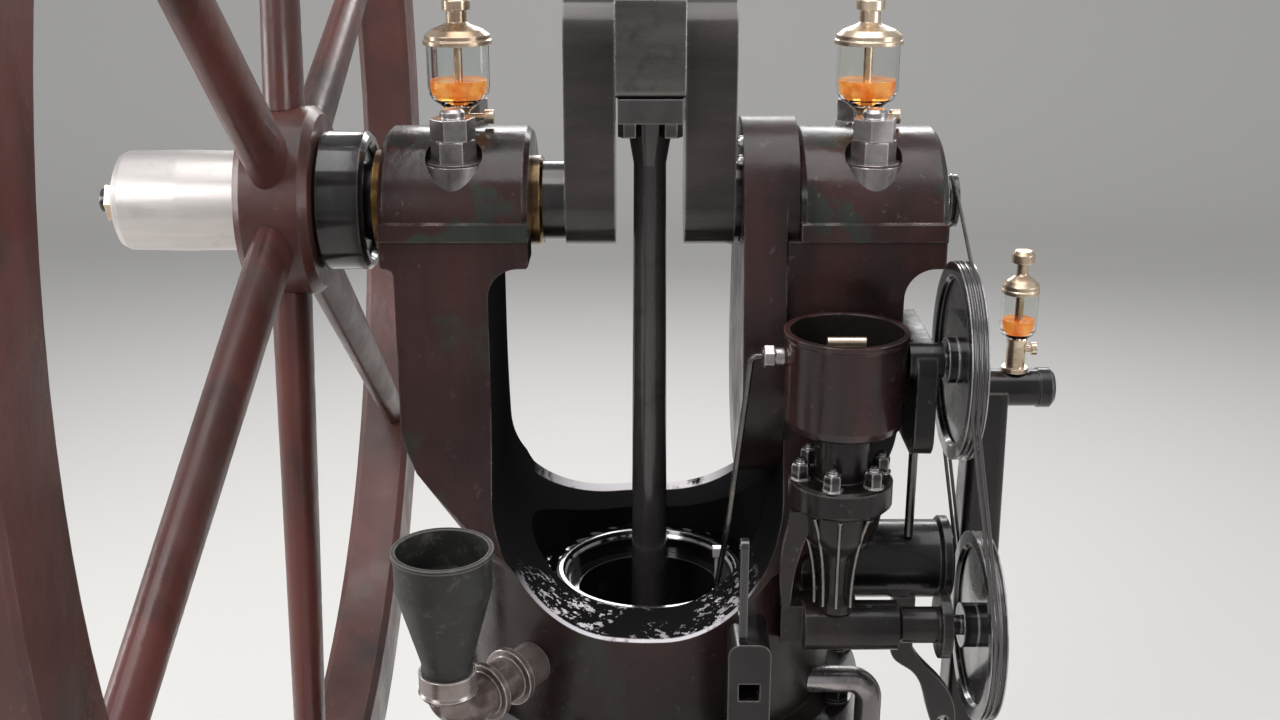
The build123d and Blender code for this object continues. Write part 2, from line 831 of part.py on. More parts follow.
# Guard over the timing gears, against the right arm inside the window
with BuildPart() as gear_guard:
    with BuildSketch(Plane.YZ.offset(guard_start)):
        with Locations((0, crank_height)):
            Circle(guard_top_radius)
        with Locations((0, crank_height - guard_gear_drop)):
            Circle(guard_low_radius)
        make_hull()
    extrude(amount=arm_right_in - guard_gap - guard_start)
    with BuildSketch(Plane.XZ) as window_space:
        with Locations(((arm_left_in + arm_right_in) / 2, window_floor + guard_gap)):
            RectangleRounded(
                arm_right_in - arm_left_in - 2 * guard_gap, crank_height, window_corner - guard_gap,
                align=(Align.CENTER, Align.MIN))
    extrude(amount=barrel_radius, both=True, mode=Mode.INTERSECT)
    with BuildSketch(Plane.YZ.offset(arm_right_in - guard_gap)):
        with Locations((0, crank_height)):
            Circle(guard_top_radius)
        with Locations((0, joint_height + guard_gap)):
            Rectangle(
                3 * guard_top_radius, 3 * guard_top_radius,
                align=(Align.CENTER, Align.MAX), mode=Mode.SUBTRACT)
    extrude(amount=right_cap_span[0] - arm_right_in)
    turn_across(0, crank_height, [
        (guard_start - overrun, 0), (guard_start - overrun, shaft_radius + moving_gap),
        (right_cap_span[0] + overrun, shaft_radius + moving_gap), (right_cap_span[0] + overrun, 0)],
        mode=Mode.SUBTRACT)
gear_guard.part.label = "gear_guard"
export_step(gear_guard.part, "parts/gear_guard.step")

# Crankshaft: two webs with the shaft outside them
with BuildPart() as crankshaft:
    shaft_shoulder = crank_sheave_start - crank_sheave_gap
    shaft_end = crank_sheave_end + crank_sheave_land
    drum_shoulder = drum_span[0] - drum_nut_gap
    turn_across(0, crank_height, [
        (shaft_tip, 0), (shaft_tip, shaft_tip_radius), (drum_shoulder, shaft_tip_radius),
        (drum_shoulder, drum_seat_radius), (hub_span[0], drum_seat_radius),
        (hub_span[0], shaft_radius), (-web_outer, shaft_radius), (-web_outer, 0)])
    turn_across(0, crank_height, [
        (web_outer, 0), (web_outer, shaft_radius), (shaft_shoulder, shaft_radius),
        (shaft_shoulder, shaft_end_radius), (shaft_end, shaft_end_radius), (shaft_end, 0)])
    for start in (-web_outer, web_inner):
        with BuildSketch(Plane.YZ.offset(start)):
            with Locations((0, crank_height + throw / 2)):
                SlotCenterToCenter(throw, web_width, rotation=90)
        extrude(amount=web_thickness)
crankshaft.part.label = "crankshaft"
export_step(crankshaft.part, "parts/crankshaft.step")

# Flywheel: hub, six oval spokes and rim
with BuildPart() as flywheel_hub:
    start, end = hub_span
    turn_across(0, crank_height, [
        (start, shaft_radius + seat_gap), (start, hub_radius - hub_bevel),
        (start + hub_bevel, hub_radius), (end - hub_bevel, hub_radius),
        (end, hub_radius - hub_bevel), (end, shaft_radius + seat_gap)])
flywheel_hub.part.label = "flywheel_hub"
export_step(flywheel_hub.part, "parts/flywheel_hub.step")

with BuildPart() as flywheel_spokes:
    for index in range(spoke_count):
        angle = math.radians(spoke_turn + index * 360 / spoke_count)
        outward = Vector(0, math.sin(angle), math.cos(angle))
        centre = Vector(spoke_x, 0, crank_height)
        with BuildSketch(Plane(centre + outward * (hub_radius - spoke_sink), x_dir=(1, 0, 0), z_dir=outward)):
            Ellipse(spoke_root_depth / 2, spoke_root_width / 2)
        with BuildSketch(Plane(centre + outward * (rim_inner + spoke_sink), x_dir=(1, 0, 0), z_dir=outward)):
            Ellipse(spoke_tip_depth / 2, spoke_tip_width / 2)
        loft()
    turn_across(0, crank_height, [
        (rim_span[0], hub_radius + seat_gap), (rim_span[0], rim_inner - seat_gap),
        (hub_span[1], rim_inner - seat_gap), (hub_span[1], hub_radius + seat_gap)],
        mode=Mode.INTERSECT)
flywheel_spokes.part.label = "flywheel_spokes"
export_step(flywheel_spokes.part, "parts/flywheel_spokes.step")

with BuildPart() as flywheel_rim:
    start, end = rim_span
    turn_across(0, crank_height, [
        (start, rim_inner + rim_bevel), (start, rim_outer - rim_bevel / 2),
        (start + rim_bevel / 2, rim_outer), (end - rim_bevel / 2, rim_outer),
        (end, rim_outer - rim_bevel / 2), (end, rim_inner + rim_bevel),
        (end - rim_bevel, rim_inner), (start + rim_bevel, rim_inner)])
flywheel_rim.part.label = "flywheel_rim"
export_step(flywheel_rim.part, "parts/flywheel_rim.step")

# Collar that locks the flywheel, with a turned recess in its face
with BuildPart() as hub_collar:
    turn_across(0, crank_height, [
        (hub_span[1], shaft_radius + seat_gap), (hub_span[1], collar_radius - collar_bevel),
        (hub_span[1] + collar_bevel, collar_radius), (collar_face - collar_bevel, collar_radius),
        (collar_face, collar_radius - collar_bevel), (collar_face, collar_radius - collar_land),
        (collar_face - collar_recess, collar_radius - collar_land - collar_slope),
        (collar_face - collar_recess, shaft_radius + seat_gap)])
hub_collar.part.label = "hub_collar"
export_step(hub_collar.part, "parts/hub_collar.step")

# Belt drum outside the flywheel, and the nut on the shaft's tip
with BuildPart() as belt_drum:
    start, end = drum_span
    turn_across(0, crank_height, [
        (start, drum_seat_radius + seat_gap), (start, drum_radius - drum_round),
        (start + drum_round / 3, drum_radius - drum_round / 3), (start + drum_round, drum_radius),
        ((start + end) / 2, drum_radius + drum_crown), (end, drum_radius),
        (end, drum_seat_radius + seat_gap)])
belt_drum.part.label = "belt_drum"
export_step(belt_drum.part, "parts/belt_drum.step")

with BuildPart() as drum_nut:
    with BuildSketch(Plane.YZ.offset(drum_span[0] - drum_nut_gap - drum_nut_width)):
        with Locations((0, crank_height)):
            RegularPolygon(drum_nut_radius, 6)
            Circle(shaft_tip_radius + seat_gap, mode=Mode.SUBTRACT)
    extrude(amount=drum_nut_width)
drum_nut.part.label = "drum_nut"
export_step(drum_nut.part, "parts/drum_nut.step")

# Piston group: open trunk piston with ring grooves, its pin, the rod and the big end
with BuildPart() as piston:
    outline = [
        (0, piston_bottom), (piston_radius - piston_bevel, piston_bottom),
        (piston_radius, piston_bottom + piston_bevel)]
    for index in range(ring_count):
        ring_foot = piston_bottom + first_ring_rise + index * 2 * ring_width
        outline += [
            (piston_radius, ring_foot), (piston_radius - ring_depth, ring_foot),
            (piston_radius - ring_depth, ring_foot + ring_width), (piston_radius, ring_foot + ring_width)]
    outline += [
        (piston_radius, piston_top), (piston_radius - piston_wall, piston_top),
        (piston_radius - piston_wall, piston_bottom + crown_thickness), (0, piston_bottom + crown_thickness)]
    turn_upright(0, 0, outline)
    pin_boss_end = piston_radius - piston_wall + pin_boss_sink
    pin_boss_radius = gudgeon_radius + pin_boss_wall
    for side in (-1, 1):
        turn_across(0, gudgeon_height, [
            (side * pin_boss_start, 0), (side * pin_boss_start, pin_boss_radius),
            (side * pin_boss_end, pin_boss_radius), (side * pin_boss_end, 0)])
    turn_across(0, gudgeon_height, [
        (-piston_radius - overrun, 0), (-piston_radius - overrun, gudgeon_radius + seat_gap),
        (piston_radius + overrun, gudgeon_radius + seat_gap), (piston_radius + overrun, 0)],
        mode=Mode.SUBTRACT)
piston.part.label = "piston"
export_step(piston.part, "parts/piston.step")

with BuildPart() as gudgeon_pin:
    gudgeon_half = piston_radius - gudgeon_inset
    turn_across(0, gudgeon_height, [
        (-gudgeon_half, gudgeon_bore), (-gudgeon_half, gudgeon_radius),
        (gudgeon_half, gudgeon_radius), (gudgeon_half, gudgeon_bore)])
gudgeon_pin.part.label = "gudgeon_pin"
export_step(gudgeon_pin.part, "parts/gudgeon_pin.step")

# Round rod with an eye below and a square palm above
with BuildPart() as connecting_rod:
    turn_upright(0, 0, [
        (0, gudgeon_height), (rod_eye_radius, gudgeon_height),
        (rod_low_radius, gudgeon_height + rod_end_length), (rod_top_radius, palm_foot - rod_end_length),
        (rod_neck_radius, palm_foot - rod_palm_rise), (rod_palm_radius, palm_foot), (0, palm_foot)])
    with Locations((0, 0, palm_foot + palm_thickness / 2)):
        Box(2 * palm_half_x, 2 * palm_half_y, palm_thickness)
    turn_across(0, gudgeon_height, [
        (-eye_half, 0), (-eye_half, gudgeon_radius + eye_wall),
        (eye_half, gudgeon_radius + eye_wall), (eye_half, 0)])
    turn_across(0, gudgeon_height, [
        (-eye_half - overrun, 0), (-eye_half - overrun, gudgeon_radius + running_gap),
        (eye_half + overrun, gudgeon_radius + running_gap), (eye_half + overrun, 0)], mode=Mode.SUBTRACT)
    with Locations((0, 0, palm_top)):
        with GridLocations(2 * big_bolt_x, 2 * big_bolt_y, 2, 2):
            Hole(big_bolt_radius + bolt_gap, depth=palm_thickness)
connecting_rod.part.label = "connecting_rod"
export_step(connecting_rod.part, "parts/connecting_rod.step")

# Big end: steel block, its brasses, the cap bar and four bolts with nuts
with BuildPart() as big_end_block:
    with Locations((0, 0, pin_height)):
        Box(2 * (web_inner - big_end_gap), 2 * palm_half_y, 2 * big_end_half)
    fillet(big_end_block.edges().filter_by(Axis.X), radius=big_end_round)
    turn_across(0, pin_height, [
        (-web_inner, 0), (-web_inner, big_brass_radius + seat_gap),
        (web_inner, big_brass_radius + seat_gap), (web_inner, 0)], mode=Mode.SUBTRACT)
    with Locations((0, 0, big_end_top)):
        with GridLocations(2 * big_bolt_x, 2 * big_bolt_y, 2, 2):
            Hole(big_bolt_radius + bolt_gap, depth=2 * big_end_half)
big_end_block.part.label = "big_end_block"
export_step(big_end_block.part, "parts/big_end_block.step")

with BuildPart() as big_end_brasses:
    brass_half = web_inner - big_end_gap
    turn_across(0, pin_height, [
        (-brass_half, crank_pin_radius + seat_gap), (-brass_half, big_brass_radius),
        (brass_half, big_brass_radius), (brass_half, crank_pin_radius + seat_gap)])
big_end_brasses.part.label = "big_end_brasses"
export_step(big_end_brasses.part, "parts/big_end_brasses.step")

with BuildPart() as big_end_cap:
    with Locations((0, 0, (big_end_top + cap_bar_top) / 2)):
        Box(2 * palm_half_x, 2 * palm_half_y, cap_bar_top - big_end_top)
    chamfer(big_end_cap.faces().sort_by(Axis.Z)[-1].edges(), length=cap_bar_bevel)
    with Locations((0, 0, cap_bar_top)):
        with GridLocations(2 * big_bolt_x, 2 * big_bolt_y, 2, 2):
            Hole(big_bolt_radius + bolt_gap, depth=cap_bar_top - big_end_top)
big_end_cap.part.label = "big_end_cap"
export_step(big_end_cap.part, "parts/big_end_cap.step")

with BuildPart() as big_end_bolts:
    bolt_foot = palm_foot - big_head_height
    bolt_top = cap_bar_top + big_bolt_end
    for bolt_x in (-big_bolt_x, big_bolt_x):
        for bolt_y in (-big_bolt_y, big_bolt_y):
            turn_upright(bolt_x, bolt_y, [
                (0, bolt_foot), (big_bolt_radius, bolt_foot), (big_bolt_radius, bolt_top),
                (0, bolt_top)])
            for foot, rise in ((bolt_foot, big_head_height), (cap_bar_top, big_nut_height)):
                with BuildSketch(Plane.XY.offset(foot)):
                    with Locations((bolt_x, bolt_y)):
                        RegularPolygon(big_nut_flats / 2, 6, major_radius=False)
                extrude(amount=rise)
big_end_bolts.part.label = "big_end_bolts"
export_step(big_end_bolts.part, "parts/big_end_bolts.step")

with BuildPart() as crank_pin:
    pin_half = web_inner - big_end_gap
    turn_across(0, pin_height, [
        (-pin_half, 0), (-pin_half, crank_pin_radius), (pin_half, crank_pin_radius), (pin_half, 0)])
crank_pin.part.label = "crank_pin"
export_step(crank_pin.part, "parts/crank_pin.step")

# Sheaves: one on the crankshaft, and two on the side spindles with three grooves each
with BuildPart() as crank_sheave:
    turn_across(0, crank_height, [
        (crank_sheave_start, shaft_end_radius + seat_gap), (crank_sheave_start, crank_sheave_radius),
        (crank_sheave_end, crank_sheave_radius), (crank_sheave_end, shaft_end_radius + seat_gap)])
    cut_grooves(0, crank_height, [crank_sheave_x], crank_run_radius)
crank_sheave.part.label = "crank_sheave"
export_step(crank_sheave.part, "parts/crank_sheave.step")


def side_sheave(x, z, spindle_start, spindle_radius, hub_side):
    # A dished sheave with a deep rim, fixed on the spindle that carries it.
    start = x - sheave_width / 2
    end = x + sheave_width / 2
    rim_foot = sheave_radius - sheave_rim_depth
    web_start = x - sheave_web / 2
    web_end = x + sheave_web / 2
    hub_end = end + sheave_hub_front
    with BuildPart() as sheave:
        turn_across(side_y, z, [
            (spindle_start, 0), (spindle_start, spindle_radius),
            (start - hub_side, spindle_radius), (start - hub_side, sheave_hub_radius),
            (web_start, sheave_hub_radius), (web_start, rim_foot - sheave_rim_slope), (start, rim_foot),
            (start, sheave_radius), (end, sheave_radius), (end, rim_foot),
            (web_end, rim_foot - sheave_rim_slope), (web_end, sheave_hub_radius),
            (hub_end, sheave_hub_radius), (hub_end, spindle_radius),
            (hub_end + spindle_radius, spindle_radius), (hub_end + spindle_radius, 0)])
        cut_grooves(side_y, z, [x - groove_pitch, x, x + groove_pitch], belt_run_radius)
    return sheave


upper_sheave = side_sheave(
    upper_sheave_x, upper_sheave_z, cup_x + cup_radius + moving_gap, upper_spindle_radius, sheave_hub_side)
upper_sheave.part.label = "upper_sheave"
export_step(upper_sheave.part, "parts/upper_sheave.step")

lower_sheave = side_sheave(
    lower_sheave_x, lower_sheave_z, tube_start + lower_spindle_inset, lower_spindle_radius,
    2 * sheave_hub_side)
lower_sheave.part.label = "lower_sheave"
export_step(lower_sheave.part, "parts/lower_sheave.step")

# Round belts: one from the crankshaft to the upper sheave, and a pair down to the lower sheave
with BuildPart() as round_belts:
    belt_loop(
        (crank_sheave_x, 0, crank_height), crank_run_radius,
        (upper_sheave_x + groove_pitch, side_y, upper_sheave_z), belt_run_radius)
    for step in (-1, 0):
        belt_loop(
            (upper_sheave_x + step * groove_pitch, side_y, upper_sheave_z), belt_run_radius,
            (lower_sheave_x + step * groove_pitch, side_y, lower_sheave_z), belt_run_radius)
round_belts.part.label = "round_belts"
export_step(round_belts.part, "parts/round_belts.step")

# Open oil cup with a rolled lip, its tap, and the neck and bell-shaped column under it
with BuildPart() as oil_cup:
    turn_upright(cup_x, side_y, [
        (0, cup_bottom), (cup_radius - cup_foot_inset, cup_bottom),
        (cup_radius - cup_foot_step, cup_bottom + cup_foot_rise), (cup_radius, cup_bottom + cup_side_rise),
        (cup_radius, cup_top - cup_lip_height - cup_lip_slope),
        (cup_radius + cup_lip, cup_top - cup_lip_height), (cup_radius + cup_lip, cup_top),
        (cup_radius - cup_wall, cup_top),
        (cup_radius - cup_wall, cup_bottom + cup_floor), (0, cup_bottom + cup_floor)])
    turn_across(side_y, fitting_height, [
        (cup_x - cup_radius - fitting_length, 0),
        (cup_x - cup_radius - fitting_length, fitting_radius),
        (cup_x - cup_radius + fitting_sink, fitting_radius), (cup_x - cup_radius + fitting_sink, 0)])
oil_cup.part.label = "oil_cup"
export_step(oil_cup.part, "parts/oil_cup.step")

with BuildPart() as cup_tap:
    bar_z = cup_top - tap_bar_drop
    tap_foot = cup_bottom + cup_floor
    turn_upright(cup_x, side_y, [
        (0, tap_foot), (tap_foot_radius, tap_foot), (tap_foot_radius, tap_foot + tap_foot_height),
        (tap_stem_radius, tap_foot + tap_foot_height), (tap_stem_radius, bar_z), (0, bar_z)])
    turn_across(side_y, bar_z, [
        (cup_x - tap_bar_length / 2, 0), (cup_x - tap_bar_length / 2, tap_bar_radius),
        (cup_x + tap_bar_length / 2, tap_bar_radius), (cup_x + tap_bar_length / 2, 0)])
cup_tap.part.label = "cup_tap"
export_step(cup_tap.part, "parts/cup_tap.step")

with BuildPart() as cup_neck:
    turn_upright(cup_x, side_y, [
        (0, neck_flange_bottom), (neck_flange_radius - neck_flange_foot_bevel, neck_flange_bottom),
        (neck_flange_radius, neck_flange_bottom + neck_flange_foot_bevel),
        (neck_flange_radius, neck_flange_top - neck_flange_bevel),
        (neck_flange_radius - neck_flange_bevel, neck_flange_top), (neck_radius, neck_flange_top),
        (neck_radius, cup_bottom - neck_cone_height), (neck_radius + neck_cone_width, cup_bottom),
        (0, cup_bottom)])
cup_neck.part.label = "cup_neck"
export_step(cup_neck.part, "parts/cup_neck.step")

with BuildPart() as feed_column:
    collar_foot = (column_top_radius - column_taper, neck_flange_bottom - column_collar_height)
    waist = (column_waist_radius, column_foot + column_waist_rise)
    with BuildSketch(Plane((cup_x, side_y, 0), x_dir=(1, 0, 0), z_dir=(0, -1, 0))) as bell:
        with BuildLine():
            Polyline(
                waist, (column_foot_radius, column_foot + column_foot_rise),
                (column_foot_radius, column_foot - column_foot_sink), (0, column_foot - column_foot_sink),
                (0, neck_flange_bottom), (column_top_radius, neck_flange_bottom), collar_foot)
            Spline(
                collar_foot, (column_bend_radius, neck_flange_bottom - column_bend_drop), waist,
                tangents=((-0.2, -1), (0, -1)))
        make_face()
    revolve(bell.sketch.faces(), axis=Axis((cup_x, side_y, 0), (0, 0, 1)))
    turn_across(side_y, lower_sheave_z, [
        (tube_start - overrun, 0), (tube_start - overrun, tube_radius + seat_gap),
        (tube_end, tube_radius + seat_gap), (tube_end, 0)], mode=Mode.SUBTRACT)
feed_column.part.label = "feed_column"
export_step(feed_column.part, "parts/feed_column.step")

# Side-shaft bearing tube with the bracket that holds it to the barrel
with BuildPart() as side_shaft_tube:
    turn_across(side_y, lower_sheave_z, [
        (tube_start, 0), (tube_start, tube_radius), (tube_step, tube_radius),
        (tube_step + tube_step_slope, tube_end_radius), (tube_end - tube_flange_width, tube_end_radius),
        (tube_end - tube_flange_width, tube_flange_radius), (tube_end, tube_flange_radius),
        (tube_end, 0)])
    with Locations((tube_start + tube_foot_overlap, side_y, lower_sheave_z)):
        Box(
            tube_foot_width, tube_foot_reach, tube_foot_height,
            align=(Align.MAX, Align.MIN, Align.CENTER))
    turn_upright(0, 0, [
        (0, frame_joint), (barrel_radius + barrel_gap, frame_joint),
        (barrel_radius + barrel_gap, cup_bottom), (0, cup_bottom)], mode=Mode.SUBTRACT)
    turn_across(side_y, lower_sheave_z, [
        (tube_start + tube_bore_inset, 0),
        (tube_start + tube_bore_inset, lower_spindle_radius + running_gap),
        (tube_end + overrun, lower_spindle_radius + running_gap), (tube_end + overrun, 0)],
        mode=Mode.SUBTRACT)
side_shaft_tube.part.label = "side_shaft_tube"
export_step(side_shaft_tube.part, "parts/side_shaft_tube.step")

# Bracket on the right arm, with the bearing boss of the upper spindle
with BuildPart() as sheave_bracket:
    with BuildSketch(Plane.YZ.offset(arm_right_out + barrel_gap)):
        with BuildLine():
            FilletPolyline(
                (bracket_back, bracket_bottom), (bracket_front, bracket_bottom),
                (bracket_front, bracket_top), (bracket_back, bracket_top), radius=bracket_corner)
            Line((bracket_back, bracket_top), (bracket_back, bracket_bottom))
        make_face()
    extrude(amount=bracket_end - arm_right_out - barrel_gap)
    boss_start = cup_x + cup_radius + overrun
    turn_across(side_y, upper_sheave_z, [
        (boss_start, 0), (boss_start, boss_radius), (boss_end, boss_radius), (boss_end, 0)])
    turn_across(side_y, upper_sheave_z, [
        (boss_start + boss_wall, 0), (boss_start + boss_wall, upper_spindle_radius + running_gap),
        (boss_end + overrun, upper_spindle_radius + running_gap), (boss_end + overrun, 0)],
        mode=Mode.SUBTRACT)
sheave_bracket.part.label = "sheave_bracket"
export_step(sheave_bracket.part, "parts/sheave_bracket.step")

# Valve chest on the barrel's right side, and the push rod above it
with BuildPart() as valve_chest:
    turn_across(chest_y, chest_z, [
        (chest_start, 0), (chest_start, chest_radius),
        (chest_end - chest_lid - chest_lid_lip, chest_radius),
        (chest_end - chest_lid, chest_radius + chest_lid_lip),
        (chest_end - chest_lid_bevel, chest_radius + chest_lid_lip),
        (chest_end, chest_radius), (chest_end, 0)])
    turn_upright(0, 0, [
        (0, frame_joint), (barrel_radius + barrel_gap, frame_joint),
        (barrel_radius + barrel_gap, shoulder_height - shoulder_ease),
        (arm_reach + barrel_gap, arm_straight_from), (0, arm_straight_from)], mode=Mode.SUBTRACT)
valve_chest.part.label = "valve_chest"
export_step(valve_chest.part, "parts/valve_chest.step")

with BuildPart() as push_rod:
    nearest = chest_y - push_rod_y - push_rod_radius
    rod_foot = chest_z + math.sqrt(chest_radius ** 2 - nearest ** 2) + barrel_gap
    turn_upright(push_rod_x, push_rod_y, [
        (0, rod_foot), (push_rod_radius, rod_foot), (push_rod_radius, bracket_bottom),
        (0, bracket_bottom)])
push_rod.part.label = "push_rod"
export_step(push_rod.part, "parts/push_rod.step")

# Curved lever under the valve chest, ending in a round eye
with BuildPart() as trip_lever:
    shank_foot = chest_z - lever_shank_drop
    eye_z = chest_z - lever_eye_drop
    half = lever_top_width / 2
    with BuildSketch(Plane.XZ.offset(-lever_y - lever_depth / 2)):
        with BuildLine():
            Polyline(
                (push_rod_x + half, shank_foot), (push_rod_x + half, chest_z),
                (push_rod_x - half, chest_z), (push_rod_x - half, shank_foot))
            Spline(
                (push_rod_x - half, shank_foot),
                (push_rod_x + lever_left_bend[0], eye_z + lever_left_bend[1]),
                (lever_eye_x - lever_eye_radius, eye_z), tangents=((0, -1), (0.5, -1)))
            Line((lever_eye_x - lever_eye_radius, eye_z), (lever_eye_x + lever_eye_radius, eye_z))
            Spline(
                (lever_eye_x + lever_eye_radius, eye_z),
                (push_rod_x + lever_right_bend[0], eye_z + lever_right_bend[1]),
                (push_rod_x + half, shank_foot), tangents=((0, 1), (-0.4, 1)))
        make_face()
        with Locations((lever_eye_x, eye_z)):
            Circle(lever_eye_radius)
            Circle(lever_eye_radius / 2, mode=Mode.SUBTRACT)
    extrude(amount=lever_depth)
    turn_across(chest_y, chest_z, [
        (push_rod_x - lever_top_width, 0), (push_rod_x - lever_top_width, chest_radius + barrel_gap),
        (push_rod_x + lever_top_width, chest_radius + barrel_gap), (push_rod_x + lever_top_width, 0)],
        mode=Mode.SUBTRACT)
trip_lever.part.label = "trip_lever"
export_step(trip_lever.part, "parts/trip_lever.step")

# Thin oil pipe from the cup to the open cylinder
with BuildPart() as oil_pipe:
    pipe_start = cup_x - cup_radius - fitting_length
    with BuildLine() as pipe_path:
        FilletPolyline(
            (pipe_start, side_y, fitting_height), (*oil_pipe_elbow, fitting_height),
            (*oil_pipe_knee, liner_top + oil_pipe_knee_rise),
            (*oil_pipe_tip, liner_top + oil_pipe_tip_rise),
            radius=list(oil_pipe_bends))
    with BuildSketch(Plane(pipe_path.line @ 0, z_dir=pipe_path.line % 0)):
        Circle(oil_pipe_radius)
    sweep()
oil_pipe.part.label = "oil_pipe"
export_step(oil_pipe.part, "parts/oil_pipe.step")

# Guide block on the front of the barrel, and the flat link that stands on it
with BuildPart() as guide_block:
    with BuildSketch(Plane.XZ.offset(-block_front)):
        with BuildLine():
            FilletPolyline(
                (block_span[0], block_bottom), (block_span[0], block_top),
                (block_span[1], block_top), (block_span[1], block_bottom), radius=block_round)
            Line((block_span[1], block_bottom), (block_span[0], block_bottom))
        make_face()
    extrude(amount=-block_depth)
    turn_upright(0, 0, [
        (0, frame_joint), (barrel_radius + barrel_gap, frame_joint),
        (barrel_radius + barrel_gap, cup_bottom), (0, cup_bottom)], mode=Mode.SUBTRACT)
    with Locations((sum(block_span) / 2, block_front, block_hole_z)):
        Box(block_hole_width, 2 * block_hole_depth, block_hole_height, mode=Mode.SUBTRACT)
guide_block.part.label = "guide_block"
export_step(guide_block.part, "parts/guide_block.step")

with BuildPart() as link_bar:
    with BuildSketch(Plane.YZ.offset(link_x - link_width / 2)):
        with Locations(((link_back + link_front) / 2, (block_top + link_top) / 2)):
            Rectangle(link_back - link_front, link_top - block_top)
    extrude(amount=link_width)
    fillet(link_bar.faces().sort_by(Axis.Z)[-1].edges().filter_by(Axis.X), radius=link_round)
link_bar.part.label = "link_bar"
export_step(link_bar.part, "parts/link_bar.step")

# Outboard bearing on a post that stands on the bed plate
with BuildPart() as outboard_bearing:
    post_x = outboard_start + post_width / 2
    sleeve_start = outboard_start - outboard_face_gap
    with Locations((post_x, outboard_y, bed_thickness)):
        Box(
            post_foot_size, post_foot_size, post_foot_thickness,
            align=(Align.CENTER, Align.CENTER, Align.MIN))
    chamfer(outboard_bearing.faces().sort_by(Axis.Z)[-1].edges(), length=post_foot_thickness / 4)
    fillet(outboard_bearing.edges().filter_by(Axis.Z), radius=post_corner)
    with BuildSketch(Plane.XY.offset(bed_thickness + post_foot_thickness)) as post_low:
        with Locations((post_x, outboard_y)):
            RectangleRounded(post_low_width, post_low_depth, post_corner)
    with BuildSketch(Plane.XY.offset(outboard_z)) as post_high:
        with Locations((post_x, outboard_y)):
            RectangleRounded(post_width, post_depth, post_corner)
    loft([post_low.sketch.face(), post_high.sketch.face()])
    turn_across(outboard_y, outboard_z, [
        (sleeve_start, 0), (sleeve_start, outboard_radius), (outboard_band[0], outboard_radius),
        (outboard_band[0], outboard_radius + outboard_band_rise),
        (outboard_band[1], outboard_radius + outboard_band_rise),
        (outboard_band[1], outboard_radius), (outboard_end - outboard_bevel, outboard_radius),
        (outboard_end, outboard_radius - outboard_bevel), (outboard_end, 0)])
    turn_upright(small_oiler_x, outboard_y, [
        (0, small_foot), (oiler_flat_radius, small_foot),
        (oiler_flat_radius, small_foot + outboard_radius), (0, small_foot + outboard_radius)],
        mode=Mode.SUBTRACT)
outboard_bearing.part.label = "outboard_bearing"
export_step(outboard_bearing.part, "parts/outboard_bearing.step")

# Water funnel and its elbow into the barrel
with BuildPart() as funnel:
    inner_mouth = funnel_mouth_radius - funnel_wall
    inner_neck = funnel_neck_radius - funnel_wall
    turn_upright(funnel_x, funnel_y, [
        (inner_neck, funnel_bottom), (funnel_neck_radius, funnel_bottom),
        (funnel_neck_radius, funnel_taper_bottom), (funnel_mouth_radius, funnel_mouth_bottom),
        (funnel_mouth_radius, funnel_top - funnel_lip_height),
        (funnel_mouth_radius + funnel_lip, funnel_top - funnel_lip_height),
        (funnel_mouth_radius + funnel_lip, funnel_top), (inner_mouth, funnel_top),
        (inner_mouth, funnel_mouth_bottom), (inner_neck, funnel_taper_bottom)])
funnel.part.label = "funnel"
export_step(funnel.part, "parts/funnel.step")

with BuildPart() as funnel_elbow:
    reach = math.hypot(funnel_x, funnel_y)
    toward = Vector(-funnel_x / reach, -funnel_y / reach, 0)
    corner = Vector(funnel_x, funnel_y, elbow_z)
    with BuildLine() as elbow_path:
        FilletPolyline(
            (funnel_x, funnel_y, funnel_bottom), corner,
            corner + toward * (reach - barrel_radius + elbow_sink),
            radius=elbow_bend)
    with BuildSketch(Plane(elbow_path.line @ 0, z_dir=elbow_path.line % 0)):
        Circle(elbow_radius)
    sweep()
    bead_top = funnel_bottom - elbow_bead_height
    bead_foot = bead_top - elbow_bead_height
    socket_top = funnel_bottom + elbow_socket_depth
    turn_upright(funnel_x, funnel_y, [
        (0, bead_foot), (elbow_bead_radius - elbow_bead_round, bead_foot),
        (elbow_bead_radius, (bead_foot + bead_top) / 2), (elbow_bead_radius - elbow_bead_round, bead_top),
        (funnel_neck_radius + elbow_socket_wall, bead_top),
        (funnel_neck_radius + elbow_socket_wall, socket_top), (0, socket_top)])
    turn_upright(funnel_x, funnel_y, [
        (0, funnel_bottom), (funnel_neck_radius + seat_gap, funnel_bottom),
        (funnel_neck_radius + seat_gap, socket_top + overrun), (0, socket_top + overrun)],
        mode=Mode.SUBTRACT)
    for share in union_span:
        union_place = corner + toward * share * (reach - barrel_radius + union_reach)
        with BuildSketch(Plane(union_place, z_dir=toward)):
            Circle(union_radius)
        extrude(amount=elbow_bead_height)
    turn_upright(0, 0, [
        (0, frame_joint), (barrel_radius + barrel_gap, frame_joint),
        (barrel_radius + barrel_gap, cup_bottom), (0, cup_bottom)], mode=Mode.SUBTRACT)
funnel_elbow.part.label = "funnel_elbow"
export_step(funnel_elbow.part, "parts/funnel_elbow.step")

